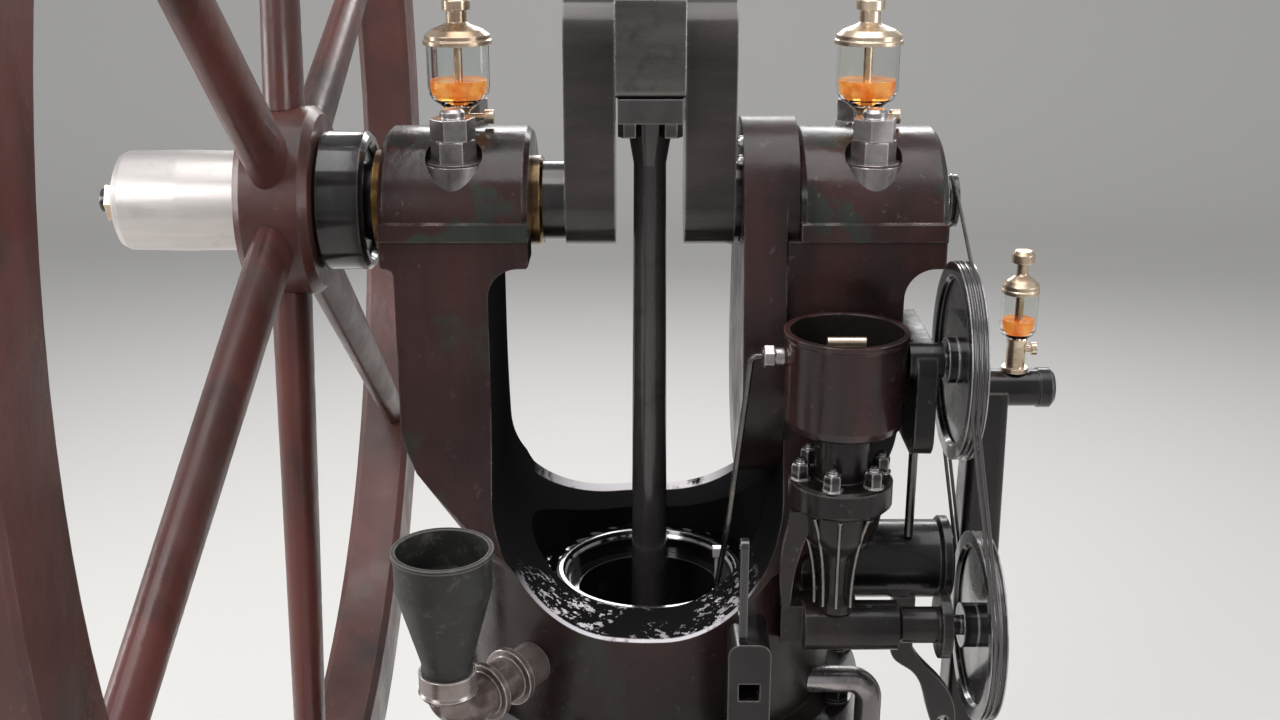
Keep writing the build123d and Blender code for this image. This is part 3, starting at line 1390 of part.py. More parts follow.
# Water outlet at the right, turned down and then outward to end in a collar
with BuildPart() as water_outlet:
    with BuildLine() as outlet_path:
        FilletPolyline(
            (outlet_start, outlet_y, outlet_z), (outlet_x, outlet_y, outlet_z),
            (outlet_x, outlet_y, outlet_low_z), (outlet_end, outlet_y, outlet_low_z), radius=outlet_bend)
    with BuildSketch(Plane(outlet_path.line @ 0, z_dir=outlet_path.line % 0)):
        Circle(outlet_radius)
    sweep()
    turn_across(outlet_y, outlet_low_z, [
        (outlet_end - outlet_collar_length, 0), (outlet_end - outlet_collar_length, outlet_collar_radius),
        (outlet_end, outlet_collar_radius), (outlet_end, 0)])
    turn_upright(0, 0, [
        (0, frame_joint), (barrel_radius + barrel_gap, frame_joint),
        (barrel_radius + barrel_gap, cup_bottom), (0, cup_bottom)], mode=Mode.SUBTRACT)
water_outlet.part.label = "water_outlet"
export_step(water_outlet.part, "parts/water_outlet.step")
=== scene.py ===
import bpy
import bmesh
import json
import math
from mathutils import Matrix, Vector


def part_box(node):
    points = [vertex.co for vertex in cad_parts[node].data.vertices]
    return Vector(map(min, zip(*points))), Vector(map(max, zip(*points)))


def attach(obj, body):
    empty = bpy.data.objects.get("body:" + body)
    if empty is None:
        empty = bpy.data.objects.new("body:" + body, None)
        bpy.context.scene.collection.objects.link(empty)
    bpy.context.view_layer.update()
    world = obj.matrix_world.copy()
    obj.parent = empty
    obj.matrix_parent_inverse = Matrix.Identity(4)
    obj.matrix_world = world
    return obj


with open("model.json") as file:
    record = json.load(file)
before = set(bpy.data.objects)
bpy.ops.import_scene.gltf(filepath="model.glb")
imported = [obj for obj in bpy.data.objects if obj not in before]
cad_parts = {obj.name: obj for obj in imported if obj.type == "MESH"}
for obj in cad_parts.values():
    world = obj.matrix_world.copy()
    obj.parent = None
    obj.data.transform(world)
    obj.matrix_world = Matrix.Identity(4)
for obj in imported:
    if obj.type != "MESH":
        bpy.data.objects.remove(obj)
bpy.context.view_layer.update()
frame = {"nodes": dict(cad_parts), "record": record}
nodes = frame["nodes"]
print("frame loaded,", len(nodes), "nodes")

# The oil cup, its neck and the column under them stand on one axis
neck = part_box("cup_neck")
cupAxis = ((neck[0].x + neck[1].x) / 2, (neck[0].y + neck[1].y) / 2)


def srgb(red, green, blue):
    # a colour as it looks on screen, 0 to 255, turned into the linear values that nodes take
    def linear(value):
        share = value / 255
        return share / 12.92 if share <= 0.04045 else ((share + 0.055) / 1.055) ** 2.4
    return (linear(red), linear(green), linear(blue), 1)


# Finishes
def newFinish(name):
    finish = bpy.data.materials.new(name)
    finish.use_nodes = True
    finish.node_tree.nodes.clear()
    tree = finish.node_tree
    out = tree.nodes.new("ShaderNodeOutputMaterial")
    skin = tree.nodes.new("ShaderNodeBsdfPrincipled")
    tree.links.new(skin.outputs["BSDF"], out.inputs["Surface"])
    return finish, tree, skin


def noiseAt(tree, scale, detail=5, rough=0.55, stretch=(1, 1, 1), shift=(0, 0, 0)):
    place = tree.nodes.new("ShaderNodeTexCoord")
    turn = tree.nodes.new("ShaderNodeMapping")
    turn.inputs["Scale"].default_value = stretch
    turn.inputs["Location"].default_value = shift
    noise = tree.nodes.new("ShaderNodeTexNoise")
    noise.inputs["Scale"].default_value = scale
    noise.inputs["Detail"].default_value = detail
    noise.inputs["Roughness"].default_value = rough
    tree.links.new(place.outputs["Object"], turn.inputs["Vector"])
    tree.links.new(turn.outputs["Vector"], noise.inputs["Vector"])
    return noise.outputs["Fac"]


def ramp(tree, source, low, high, lowValue=0.0, highValue=1.0):
    # spreads a mask between two levels and clamps it there
    node = tree.nodes.new("ShaderNodeMapRange")
    node.inputs["From Min"].default_value = low
    node.inputs["From Max"].default_value = high
    node.inputs["To Min"].default_value = lowValue
    node.inputs["To Max"].default_value = highValue
    tree.links.new(source, node.inputs["Value"])
    return node.outputs["Result"]


def mottle(tree, look, least=0.0, most=1.0, stretch=(1, 1, 1)):
    # a patchy mask: a noise of some scale, detail and roughness, spread between two levels
    noise = noiseAt(tree, *look["noise"], look.get("stretch", stretch), look.get("shift", (0, 0, 0)))
    return ramp(tree, noise, *look["levels"], least, most)


def blendColours(tree, mask, first, second):
    node = tree.nodes.new("ShaderNodeMix")
    node.data_type = "RGBA"
    for socket, value in ((6, first), (7, second)):       # the Mix node's two colour sockets
        if isinstance(value, tuple):
            node.inputs[socket].default_value = value
        else:
            tree.links.new(value, node.inputs[socket])
    tree.links.new(mask, node.inputs[0])
    return node.outputs[2]


def mathNode(tree, kind, first, second):
    node = tree.nodes.new("ShaderNodeMath")
    node.operation = kind
    node.use_clamp = True
    for socket, value in ((0, first), (1, second)):
        if isinstance(value, (int, float)):
            node.inputs[socket].default_value = value
        else:
            tree.links.new(value, node.inputs[socket])
    return node.outputs[0]


def roundedNormal(tree, reach):
    # the way the surface faces, with its edges softened over a short reach
    soft = tree.nodes.new("ShaderNodeBevel")
    soft.samples = 4
    soft.inputs["Radius"].default_value = reach
    return soft.outputs["Normal"]


edgeWear = {"reach": 0.003, "levels": (0.985, 0.80)}


def edgeMask(tree):
    # bright where a rounded copy of the surface would bend, which is along the worn edges; on the metals
    # it also places painted highlights
    soft = roundedNormal(tree, edgeWear["reach"])
    flat = tree.nodes.new("ShaderNodeNewGeometry")
    dot = tree.nodes.new("ShaderNodeVectorMath")
    dot.operation = "DOT_PRODUCT"
    tree.links.new(soft, dot.inputs[0])
    tree.links.new(flat.outputs["Normal"], dot.inputs[1])
    return ramp(tree, dot.outputs["Value"], *edgeWear["levels"])


def bumps(tree, skin, sources, look):
    # each source is a mask and how strongly it raises the surface
    normal = roundedNormal(tree, look["rounding"])
    for source, strength in sources:
        bump = tree.nodes.new("ShaderNodeBump")
        bump.inputs["Strength"].default_value = strength
        bump.inputs["Distance"].default_value = look["depth"]
        tree.links.new(source, bump.inputs["Height"])
        tree.links.new(normal, bump.inputs["Normal"])
        normal = bump.outputs["Normal"]
    tree.links.new(normal, skin.inputs["Normal"])


def ownAxes(tree, output="Object"):
    # the piece's own x, y and z, of the point or of the way its surface faces
    place = tree.nodes.new("ShaderNodeTexCoord")
    parts = tree.nodes.new("ShaderNodeSeparateXYZ")
    tree.links.new(place.outputs[output], parts.inputs["Vector"])
    return {axis: parts.outputs[axis] for axis in "XYZ"}


def awayFrom(tree, centre):
    # distance from a plane, line or point, given by the axes that count and where it lies on them
    point = ownAxes(tree)
    total = None
    for axis, middle in centre.items():
        offset = tree.nodes.new("ShaderNodeMath")
        offset.operation = "SUBTRACT"
        tree.links.new(point[axis], offset.inputs[0])
        offset.inputs[1].default_value = middle
        square = mathNode(tree, "MULTIPLY", offset.outputs[0], offset.outputs[0])
        total = square if total is None else mathNode(tree, "ADD", total, square)
    return mathNode(tree, "SQRT", total, 0.0)


def between(tree, source, low, high, soft):
    # 1 between two limits, 0 outside them
    rise = ramp(tree, source, low - soft, low)
    fall = ramp(tree, source, high, high + soft, 1.0, 0.0)
    return mathNode(tree, "MULTIPLY", rise, fall)


# Oil thrown on the cut faces of the frame's window and on the trough about the cylinder, with painted
# highlights on it
windowOilAndPaintedGlints = {
    "acrossX": (-0.1585, 0.1335), "acrossEdge": 0.002,      # between the arms
    "trough": 0.1283, "troughEdge": 0.0006,                 # radius about the bore
    "facing": (0.35, 0.60),                                 # a cut face doesn't look forwards or back
    "tone": srgb(27, 26, 27), "glossier": 0.14,
    "paintedGlint": srgb(222, 216, 220), "levelZ": (0.6, 0.95),    # painted highlights lie on level faces
    "frontY": (-0.10, -0.06), "asideX": (0.025, 0.07), "asideLeast": 0.55,
    "churn": {"noise": (16, 3, 0.5), "levels": (0.46, 0.52), "shift": (0.3, 0.1, 0.0)},
    "drops": {"noise": (150, 3, 0.6), "levels": (0.575, 0.600)},
    "folds": {"noise": (48, 5, 0.7), "levels": (0.580, 0.600), "stretch": (1, 1, 2)},
    "rimRadius": (0.1920, 0.1940),
    "rimY": (-0.2, 0.2), "rimLean": 0.016,                  # the painted rim highlight comes nearer to the axis at the rear
    "rimGaps": {"noise": (20, 6, 0.7), "levels": (0.34, 0.42), "stretch": (1, 0.3, 1)},
}


def windowMask(tree, oil, away):
    # the cut faces between the arms, and the trough
    sideways = mathNode(tree, "ABSOLUTE", ownAxes(tree, "Normal")["Y"], 0.0)
    mask = ramp(tree, sideways, *oil["facing"], 1.0, 0.0)
    across = between(tree, ownAxes(tree)["X"], *oil["acrossX"], oil["acrossEdge"])
    mask = mathNode(tree, "MULTIPLY", mask, across)
    trough = ramp(tree, away, oil["trough"], oil["trough"] + oil["troughEdge"], 1.0, 0.0)
    return mathNode(tree, "MAXIMUM", mask, trough)


# Paints: shine is their plain reflection, coat a clear layer of oil over them
paintLooks = {
    "iron_paint": {
        "paint": srgb(62, 38, 36), "deepPaint": srgb(38, 26, 25), "oldPrimer": srgb(46, 47, 41),
        "grime": srgb(22, 20, 19), "wornIron": srgb(122, 115, 110), "patchScale": 7,
        "patchFrom": 0.54, "patchTo": 0.62, "grimeFrom": 0.42, "gloss": 0.30, "coat": 0.08, "shine": 0.3,
    },
    "capPaint": {
        "paint": srgb(66, 40, 39), "deepPaint": srgb(42, 29, 28), "oldPrimer": srgb(46, 50, 44),
        "grime": srgb(24, 22, 21), "wornIron": srgb(150, 142, 138), "patchScale": 11,
        "patchFrom": 0.51, "patchTo": 0.56, "grimeFrom": 0.44, "gloss": 0.24, "coat": 0.06, "shine": 0.3,
    },
    "wheelPaint": {
        "paint": srgb(92, 50, 45), "deepPaint": srgb(66, 38, 34), "oldPrimer": srgb(62, 51, 46),
        "grime": srgb(36, 28, 26), "wornIron": srgb(130, 114, 106), "patchScale": 5,
        "patchFrom": 0.58, "patchTo": 0.68, "grimeFrom": 0.52, "gloss": 0.36, "coat": 0.14, "shine": 0.4,
    },
    "cupPaint": {
        "paint": srgb(74, 38, 37), "deepPaint": srgb(46, 28, 28), "oldPrimer": srgb(52, 48, 44),
        "grime": srgb(24, 21, 21), "wornIron": srgb(150, 140, 134), "patchScale": 9,
        "patchFrom": 0.56, "patchTo": 0.68, "grimeFrom": 0.44, "gloss": 0.22, "coat": 0.22, "shine": 0.4,
        # painted shade inside the cup
        "paintedShadeInside": {"radius": 0.0535, "edge": 0.001, "tone": srgb(30, 28, 27), "amount": 0.85},
    },
    "columnPaint": {
        "paint": srgb(48, 38, 37), "deepPaint": srgb(30, 25, 25), "oldPrimer": srgb(44, 42, 40),
        "grime": srgb(20, 18, 18), "wornIron": srgb(160, 152, 148), "patchScale": 13,
        "patchFrom": 0.54, "patchTo": 0.64, "grimeFrom": 0.42, "gloss": 0.22, "coat": 0.10, "shine": 0.3,
    },
    "framePaint": {
        "paint": srgb(62, 38, 36), "deepPaint": srgb(40, 27, 26), "oldPrimer": srgb(50, 50, 43),
        "grime": srgb(21, 19, 18), "wornIron": srgb(122, 115, 110), "patchScale": 7,
        "patchFrom": 0.53, "patchTo": 0.60, "grimeFrom": 0.42, "gloss": 0.28, "coat": 0.07, "shine": 0.28,
        "darkerBelow": {"heights": (0.72, 0.96), "most": 0.75, "runs": 0.3}, "windowOilAndPaintedGlints": windowOilAndPaintedGlints,
    },
}

# Wear that all the paints share; a noise is given by its scale, detail and roughness
paintWear = {
    "shade": {"noise": (4, 4, 0.55), "levels": (0.38, 0.62)},
    "patchGrain": (8, 0.62),            # detail and roughness, the scale is the paint's own
    "runs": (14, 5, 0.6, (1, 1, 0.16)), "runSpread": 0.26,         # stretched downwards
    "speckle": {"noise": (90, 3, 0.6), "levels": (0.65, 0.73)}, "speckleAmount": 0.16,
    "rubbed": {"noise": (30, 4, 0.55), "levels": (0.42, 0.66)},
    "sheen": {"noise": (12, 5, 0.6), "levels": (0.35, 0.65)}, "glossLess": 0.10, "glossMore": 0.16,
    "bareMetal": 0.8, "coatRoughness": 0.14,
    "grain": (55, 4), "grainHigh": 0.25, "casting": (7, 3), "castingHigh": 0.35,
    "depth": 0.002, "rounding": 0.002,
}


def wetWindow(tree, skin, look, wet, away, colour, gloss):
    # black oil on the window's cut faces, with painted highlights on its ripples and along the window's
    # lower rim edges
    oil = look["windowOilAndPaintedGlints"]
    point, facing = ownAxes(tree), ownAxes(tree, "Normal")
    colour = blendColours(tree, wet, colour, oil["tone"])
    gloss = mathNode(tree, "SUBTRACT", gloss, mathNode(tree, "MULTIPLY", wet, oil["glossier"]))
    front = ramp(tree, point["Y"], *oil["frontY"], 1.0, 0.0)
    aside = ramp(tree, mathNode(tree, "ABSOLUTE", point["X"], 0.0), *oil["asideX"], oil["asideLeast"], 1.0)
    churned = mathNode(tree, "MULTIPLY", front, aside)
    churned = mathNode(tree, "MULTIPLY", churned, mottle(tree, oil["churn"]))
    # painted highlights: white spots on the oil's drops and folds
    drops = mottle(tree, oil["drops"])
    folds = mottle(tree, oil["folds"])
    paintedGlints = mathNode(tree, "MULTIPLY", churned, mathNode(tree, "MAXIMUM", drops, folds))
    # a painted highlight along the window's lower rim edges, with gaps
    lean = mathNode(tree, "MULTIPLY", ramp(tree, point["Y"], *oil["rimY"]), oil["rimLean"])
    paintedRims = ramp(tree, mathNode(tree, "ADD", lean, away), *oil["rimRadius"])
    paintedRims = mathNode(tree, "MULTIPLY", paintedRims, mottle(tree, oil["rimGaps"]))
    level = mathNode(tree, "MULTIPLY", wet, ramp(tree, facing["Z"], *oil["levelZ"]))
    bright = mathNode(tree, "MULTIPLY", level, mathNode(tree, "MAXIMUM", paintedGlints, paintedRims))
    colour = blendColours(tree, bright, colour, oil["paintedGlint"])
    dry = mathNode(tree, "SUBTRACT", 1.0, wet)
    tree.links.new(mathNode(tree, "MULTIPLY", dry, look["shine"]), skin.inputs["Specular IOR Level"])
    tree.links.new(mathNode(tree, "MULTIPLY", dry, look["coat"]), skin.inputs["Coat Weight"])
    return colour, gloss


def ironPaint(name, look):
    # old paint over cast iron: shades, patches of primer, runs of grime, rubbed edges and specks
    finish, tree, skin = newFinish(name)
    wear = paintWear
    colour = blendColours(tree, mottle(tree, wear["shade"]), look["deepPaint"], look["paint"])
    patch = noiseAt(tree, look["patchScale"], *wear["patchGrain"])
    patch = ramp(tree, patch, look["patchFrom"], look["patchTo"])
    colour = blendColours(tree, patch, colour, look["oldPrimer"])
    runs = noiseAt(tree, *wear["runs"])
    runs = ramp(tree, runs, look["grimeFrom"], look["grimeFrom"] + wear["runSpread"])
    if "darkerBelow" in look:
        # the lower part of the barrel is blacker than the arms
        grime = look["darkerBelow"]
        below = ramp(tree, ownAxes(tree)["Z"], *grime["heights"], grime["most"], 0.0)
        below = mathNode(tree, "ADD", below, mathNode(tree, "MULTIPLY", runs, grime["runs"]))
        runs = mathNode(tree, "MAXIMUM", runs, below)
    colour = blendColours(tree, runs, colour, look["grime"])
    # painted shade: the inside of the cup is darkened
    if "paintedShadeInside" in look:
        inside = look["paintedShadeInside"]
        outer = inside["radius"] + inside["edge"]
        away = awayFrom(tree, {"X": cupAxis[0], "Y": cupAxis[1]})
        within = ramp(tree, away, inside["radius"], outer, inside["amount"], 0.0)
        colour = blendColours(tree, within, colour, inside["tone"])
    speckle = mottle(tree, wear["speckle"])
    rubbed = mathNode(tree, "MULTIPLY", edgeMask(tree), mottle(tree, wear["rubbed"]))
    bare = mathNode(tree, "MAXIMUM", rubbed, mathNode(tree, "MULTIPLY", speckle, wear["speckleAmount"]))
    if "windowOilAndPaintedGlints" in look:
        away = awayFrom(tree, {"X": 0.0, "Y": 0.0})
        wet = windowMask(tree, look["windowOilAndPaintedGlints"], away)
        bare = mathNode(tree, "SUBTRACT", bare, wet)
    colour = blendColours(tree, bare, colour, look["wornIron"])
    low, high = look["gloss"] - wear["glossLess"], look["gloss"] + wear["glossMore"]
    gloss = mottle(tree, wear["sheen"], low, high)
    skin.inputs["Coat Weight"].default_value = look["coat"]
    skin.inputs["Specular IOR Level"].default_value = look["shine"]
    if "windowOilAndPaintedGlints" in look:
        colour, gloss = wetWindow(tree, skin, look, wet, away, colour, gloss)
    tree.links.new(colour, skin.inputs["Base Color"])
    tree.links.new(gloss, skin.inputs["Roughness"])
    tree.links.new(mathNode(tree, "MULTIPLY", bare, wear["bareMetal"]), skin.inputs["Metallic"])
    skin.inputs["Coat Roughness"].default_value = wear["coatRoughness"]
    grain, casting = noiseAt(tree, *wear["grain"]), noiseAt(tree, *wear["casting"])
    bumps(tree, skin, [(grain, wear["grainHigh"]), (casting, wear["castingHigh"])], wear)
    return finish


# Metals: streak stretches their shades, edge is how bright their edges are, worn and lit with painted
# highlights
metalLooks = {
    "bare_iron": {"tone": srgb(74, 70, 66), "dark": srgb(46, 43, 41), "bright": srgb(140, 134, 128),
                  "metal": 0.7, "gloss": 0.45, "coat": 0.1, "streak": (1, 1, 1), "edge": 0.6},
    "oily_iron": {"tone": srgb(52, 50, 50), "dark": srgb(28, 27, 28), "bright": srgb(120, 118, 116),
                  "metal": 0.4, "gloss": 0.12, "coat": 1.0, "streak": (1, 1, 0.4), "edge": 0.7},
    "dark_iron": {"tone": srgb(38, 34, 34), "dark": srgb(22, 20, 20), "bright": srgb(150, 144, 140),
                  "metal": 0.4, "gloss": 0.28, "coat": 0.25, "streak": (1, 1, 1), "edge": 0.6},
    "black_steel": {"tone": srgb(56, 54, 54), "dark": srgb(34, 32, 32), "bright": srgb(160, 158, 156),
                    "metal": 0.6, "gloss": 0.20, "coat": 0.6, "streak": (1, 1, 0.08), "edge": 0.6},
    "bright_steel": {"tone": srgb(128, 124, 121), "dark": srgb(78, 73, 70), "bright": srgb(214, 210, 206),
                     "metal": 1.0, "gloss": 0.24, "coat": 0.2, "streak": (0.2, 1, 1), "edge": 0.8},
    "crankSteel": {"tone": srgb(82, 79, 77), "dark": srgb(48, 45, 43), "bright": srgb(214, 210, 206),
                   "metal": 0.95, "gloss": 0.22, "coat": 0.3, "streak": (0.2, 1, 1), "edge": 0.5,
                   "webs": (0.0342, 0.0848),        # their two sides, along the shaft
                   "webDark": srgb(40, 36, 35), "webTone": srgb(74, 66, 64), "webMetal": 0.35},
    "nutSteel": {"tone": srgb(186, 180, 179), "dark": srgb(112, 105, 104), "bright": srgb(240, 236, 234),
                 "metal": 0.85, "gloss": 0.24, "coat": 0.3, "streak": (1, 1, 1), "edge": 0.8},
    "polished": {"tone": srgb(222, 216, 212), "dark": srgb(186, 180, 177), "bright": srgb(240, 238, 236),
                 "metal": 0.6, "gloss": 0.34, "coat": 0.2, "streak": (0.1, 1, 1), "edge": 0.4},
    "brass": {"tone": srgb(234, 214, 188), "dark": srgb(176, 150, 124), "bright": srgb(250, 242, 226),
              "metal": 0.85, "gloss": 0.27, "coat": 0.1, "streak": (1, 1, 1), "edge": 0.6},
    "oiledBrass": {"tone": srgb(128, 98, 54), "dark": srgb(62, 46, 30), "bright": srgb(214, 186, 132),
                   "metal": 1.0, "gloss": 0.24, "coat": 0.4, "streak": (1, 1, 1), "edge": 0.6},
    "belt": {"tone": srgb(46, 43, 43), "dark": srgb(24, 22, 22), "bright": srgb(210, 204, 204),
             "metal": 0.2, "gloss": 0.18, "coat": 1.0, "streak": (1, 1, 1), "edge": 0.3},
    # the sheaves' bright edges are painted highlights, the light along their grooves and belts
    "sheaveSteel": {"tone": srgb(48, 45, 46), "dark": srgb(28, 26, 26), "bright": srgb(226, 222, 222),
                    "metal": 0.6, "gloss": 0.20, "coat": 0.6, "streak": (1, 1, 1), "edge": 0.9},
    # the elbow's light pink tone is partly a painted highlight; the rest is its light grey metal
    "elbowSteel": {"tone": srgb(150, 138, 134), "dark": srgb(92, 76, 71), "bright": srgb(240, 236, 233),
                   "metal": 0.6, "gloss": 0.26, "coat": 0.3, "streak": (1, 1, 1), "edge": 0.8},
    # the neck nuts' bright edges are painted highlights
    "neckSteel": {"tone": srgb(66, 60, 60), "dark": srgb(34, 31, 31), "bright": srgb(236, 230, 230),
                  "metal": 0.7, "gloss": 0.16, "coat": 0.6, "streak": (1, 1, 1), "edge": 1.0},
    "linerSteel": {"tone": srgb(44, 43, 44), "dark": srgb(24, 23, 24), "bright": srgb(232, 228, 231),
                   "metal": 0.4, "gloss": 0.12, "coat": 1.0, "streak": (1, 1, 0.4), "edge": 0.5,
                   "rings": ((0.0996, 0.1014), (0.0909, 0.0922))},         # radii of the liner's edges
    "rodSteel": {"tone": srgb(78, 73, 73), "dark": srgb(48, 45, 45), "bright": srgb(170, 164, 162),
                 "metal": 0.2, "gloss": 0.18, "coat": 0.6, "streak": (1, 1, 0.2), "edge": 0.5},
    "blackOil": {"tone": srgb(13, 13, 12), "dark": srgb(8, 8, 8), "bright": srgb(20, 20, 20),
                 "metal": 0.0, "gloss": 0.06, "coat": 1.0, "streak": (1, 1, 1), "edge": 0.0},
}

# Wear that all the bare metals share
metalWear = {
    "shade": {"noise": (16, 6, 0.6), "levels": (0.35, 0.65)},
    "stain": {"noise": (38, 4, 0.6), "levels": (0.56, 0.70)}, "stainAmount": 0.6,
    "broken": {"noise": (26, 5, 0.6), "levels": (0.44, 0.50)}, "lineEdge": 0.0004,
    "sheen": {"noise": (22, 5, 0.6), "levels": (0.35, 0.68)},
    "glossLess": 0.08, "glossMore": 0.14, "glossLeast": 0.05, "coatRoughness": 0.08,
    "scratches": (70, 4, 0.6), "scratchHigh": 0.18, "dents": (9, 3), "dentHigh": 0.2,
    "depth": 0.001, "rounding": 0.0015,
}


def workedMetal(name, look):
    # turned, filed or oiled metal with shades, stains, and worn edges that carry painted highlights
    finish, tree, skin = newFinish(name)
    wear = metalWear
    shade = mottle(tree, wear["shade"], stretch=look["streak"])
    colour = blendColours(tree, shade, look["dark"], look["tone"])
    stain = mathNode(tree, "MULTIPLY", mottle(tree, wear["stain"]), wear["stainAmount"])
    colour = blendColours(tree, stain, colour, look["dark"])
    if "webs" in look:
        # the webs of the crank are left rough and dark, the turned shaft is bright
        webs = between(tree, awayFrom(tree, {"X": 0.0}), *look["webs"], wear["lineEdge"])
        rough = blendColours(tree, shade, look["webDark"], look["webTone"])
        colour = blendColours(tree, webs, colour, rough)
    for inner, outer in look.get("rings", ()):
        # painted highlights: oil that stands on the liner's edges catches the light in broken rings
        ring = between(tree, awayFrom(tree, {"X": 0.0, "Y": 0.0}), inner, outer, wear["lineEdge"])
        broken = mathNode(tree, "MULTIPLY", ring, mottle(tree, wear["broken"]))
        colour = blendColours(tree, broken, colour, look["bright"])
    # painted highlights along the edges, over the wear
    edge = mathNode(tree, "MULTIPLY", edgeMask(tree), look["edge"])
    colour = blendColours(tree, edge, colour, look["bright"])
    tree.links.new(colour, skin.inputs["Base Color"])
    low = max(wear["glossLeast"], look["gloss"] - wear["glossLess"])
    high = look["gloss"] + wear["glossMore"]
    tree.links.new(mottle(tree, wear["sheen"], low, high, look["streak"]), skin.inputs["Roughness"])
    if "webs" in look:
        metal = ramp(tree, webs, 0.0, 1.0, look["metal"], look["webMetal"])
        tree.links.new(metal, skin.inputs["Metallic"])
    else:
        skin.inputs["Metallic"].default_value = look["metal"]
    skin.inputs["Coat Weight"].default_value = look["coat"]
    skin.inputs["Coat Roughness"].default_value = wear["coatRoughness"]
    scratches, dents = noiseAt(tree, *wear["scratches"], look["streak"]), noiseAt(tree, *wear["dents"])
    bumps(tree, skin, [(scratches, wear["scratchHigh"]), (dents, wear["dentHigh"])], wear)
    return finish


greyLook = {
    "tone": srgb(43, 42, 40), "dark": srgb(27, 26, 25), "bright": srgb(160, 156, 150), "edge": 0.7,
    "shade": {"noise": (10, 5, 0.6), "levels": (0.35, 0.65)},
    "dust": {"noise": (60, 5, 0.7), "levels": (0.55, 0.72)},
    "dustTone": srgb(120, 116, 110), "dustAmount": 0.4,
    "sheen": {"noise": (20, 4, 0.55), "levels": (0.35, 0.65)}, "gloss": (0.42, 0.62),
    "grain": (80, 4), "grainHigh": 0.2, "depth": 0.001, "rounding": 0.002,
}


def greyPaint(look):
    # dull paint with dust in it, on the funnel
    finish, tree, skin = newFinish("greyPaint")
    colour = blendColours(tree, mottle(tree, look["shade"]), look["dark"], look["tone"])
    dust = mathNode(tree, "MULTIPLY", mottle(tree, look["dust"]), look["dustAmount"])
    colour = blendColours(tree, dust, colour, look["dustTone"])
    edge = mathNode(tree, "MULTIPLY", edgeMask(tree), look["edge"])
    colour = blendColours(tree, edge, colour, look["bright"])
    tree.links.new(colour, skin.inputs["Base Color"])
    tree.links.new(mottle(tree, look["sheen"], *look["gloss"]), skin.inputs["Roughness"])
    bumps(tree, skin, [(noiseAt(tree, *look["grain"]), look["grainHigh"])], look)
    return finish


glassLook = {
    "smear": {"noise": (25, 4, 0.55), "levels": (0.40, 0.70)}, "gloss": (0.02, 0.10),
    "cloud": {"noise": (9, 3, 0.55), "levels": (0.35, 0.65)},
    "tints": (srgb(244, 247, 246), srgb(250, 250, 247)), "clear": 1.0, "refraction": 1.2,
}


def sightGlass(look):
    finish, tree, skin = newFinish("sightGlass")
    tree.links.new(mottle(tree, look["smear"], *look["gloss"]), skin.inputs["Roughness"])
    tint = blendColours(tree, mottle(tree, look["cloud"]), *look["tints"])
    tree.links.new(tint, skin.inputs["Base Color"])
    skin.inputs["Transmission Weight"].default_value = look["clear"]
    skin.inputs["IOR"].default_value = look["refraction"]
    return finish


oilLook = {
    "swirl": {"noise": (55, 3, 0.55), "levels": (0.38, 0.62)},
    "tints": (srgb(230, 130, 46), srgb(253, 192, 104)), "glow": 0.24, "clear": 0.55, "gloss": 0.06,
    "refraction": 1.3, "ripple": (20, 2), "rippleHigh": 0.05, "depth": 0.001, "rounding": 0.002,
}


def amberOil(look):
    # the light that comes through the oil is helped by a faint glow
    finish, tree, skin = newFinish("amberOil")
    tint = blendColours(tree, mottle(tree, look["swirl"]), *look["tints"])
    tree.links.new(tint, skin.inputs["Base Color"])
    tree.links.new(tint, skin.inputs["Emission Color"])
    skin.inputs["Emission Strength"].default_value = look["glow"]
    skin.inputs["Transmission Weight"].default_value = look["clear"]
    skin.inputs["Roughness"].default_value = look["gloss"]
    skin.inputs["IOR"].default_value = look["refraction"]
    bumps(tree, skin, [(noiseAt(tree, *look["ripple"]), look["rippleHigh"])], look)
    return finish


finishes = {name: workedMetal(name, look) for name, look in metalLooks.items()}
finishes.update({name: ironPaint(name, look) for name, look in paintLooks.items()})
finishes["grey_paint"] = greyPaint(greyLook)
finishes["glass"] = sightGlass(glassLook)
finishes["amber_oil"] = amberOil(oilLook)
print("finishes made,", len(finishes))

# CAD nodes whose finish differs from their record slot
ownFinish = {
    "belt_drum": "polished", "crankshaft": "crankSteel", "flywheel_rim": "wheelPaint",
    "flywheel_spokes": "wheelPaint", "flywheel_hub": "wheelPaint", "oil_cup": "cupPaint",
    "engine_frame": "framePaint", "left_bearing_cap": "capPaint", "right_bearing_cap": "capPaint",
    "feed_column": "columnPaint", "side_shaft_tube": "columnPaint", "cup_neck": "columnPaint",
    "sheave_bracket": "columnPaint", "cap_studs": "nutSteel", "bearing_brasses": "oiledBrass",
    "big_end_brasses": "oiledBrass", "water_outlet": "nutSteel", "cylinder_liner": "linerSteel",
    "upper_sheave": "sheaveSteel", "lower_sheave": "sheaveSteel", "funnel_elbow": "elbowSteel",
    "connecting_rod": "rodSteel",
}
for piece in frame["record"]["subparts"]:
    finish = finishes[ownFinish.get(piece["node"], piece["material_slot"])]
    mesh = nodes[piece["node"]].data
    for index in range(max(1, len(mesh.materials))):
        if index < len(mesh.materials):
            mesh.materials[index] = finish
        else:
            mesh.materials.append(finish)
print("CAD nodes finished")


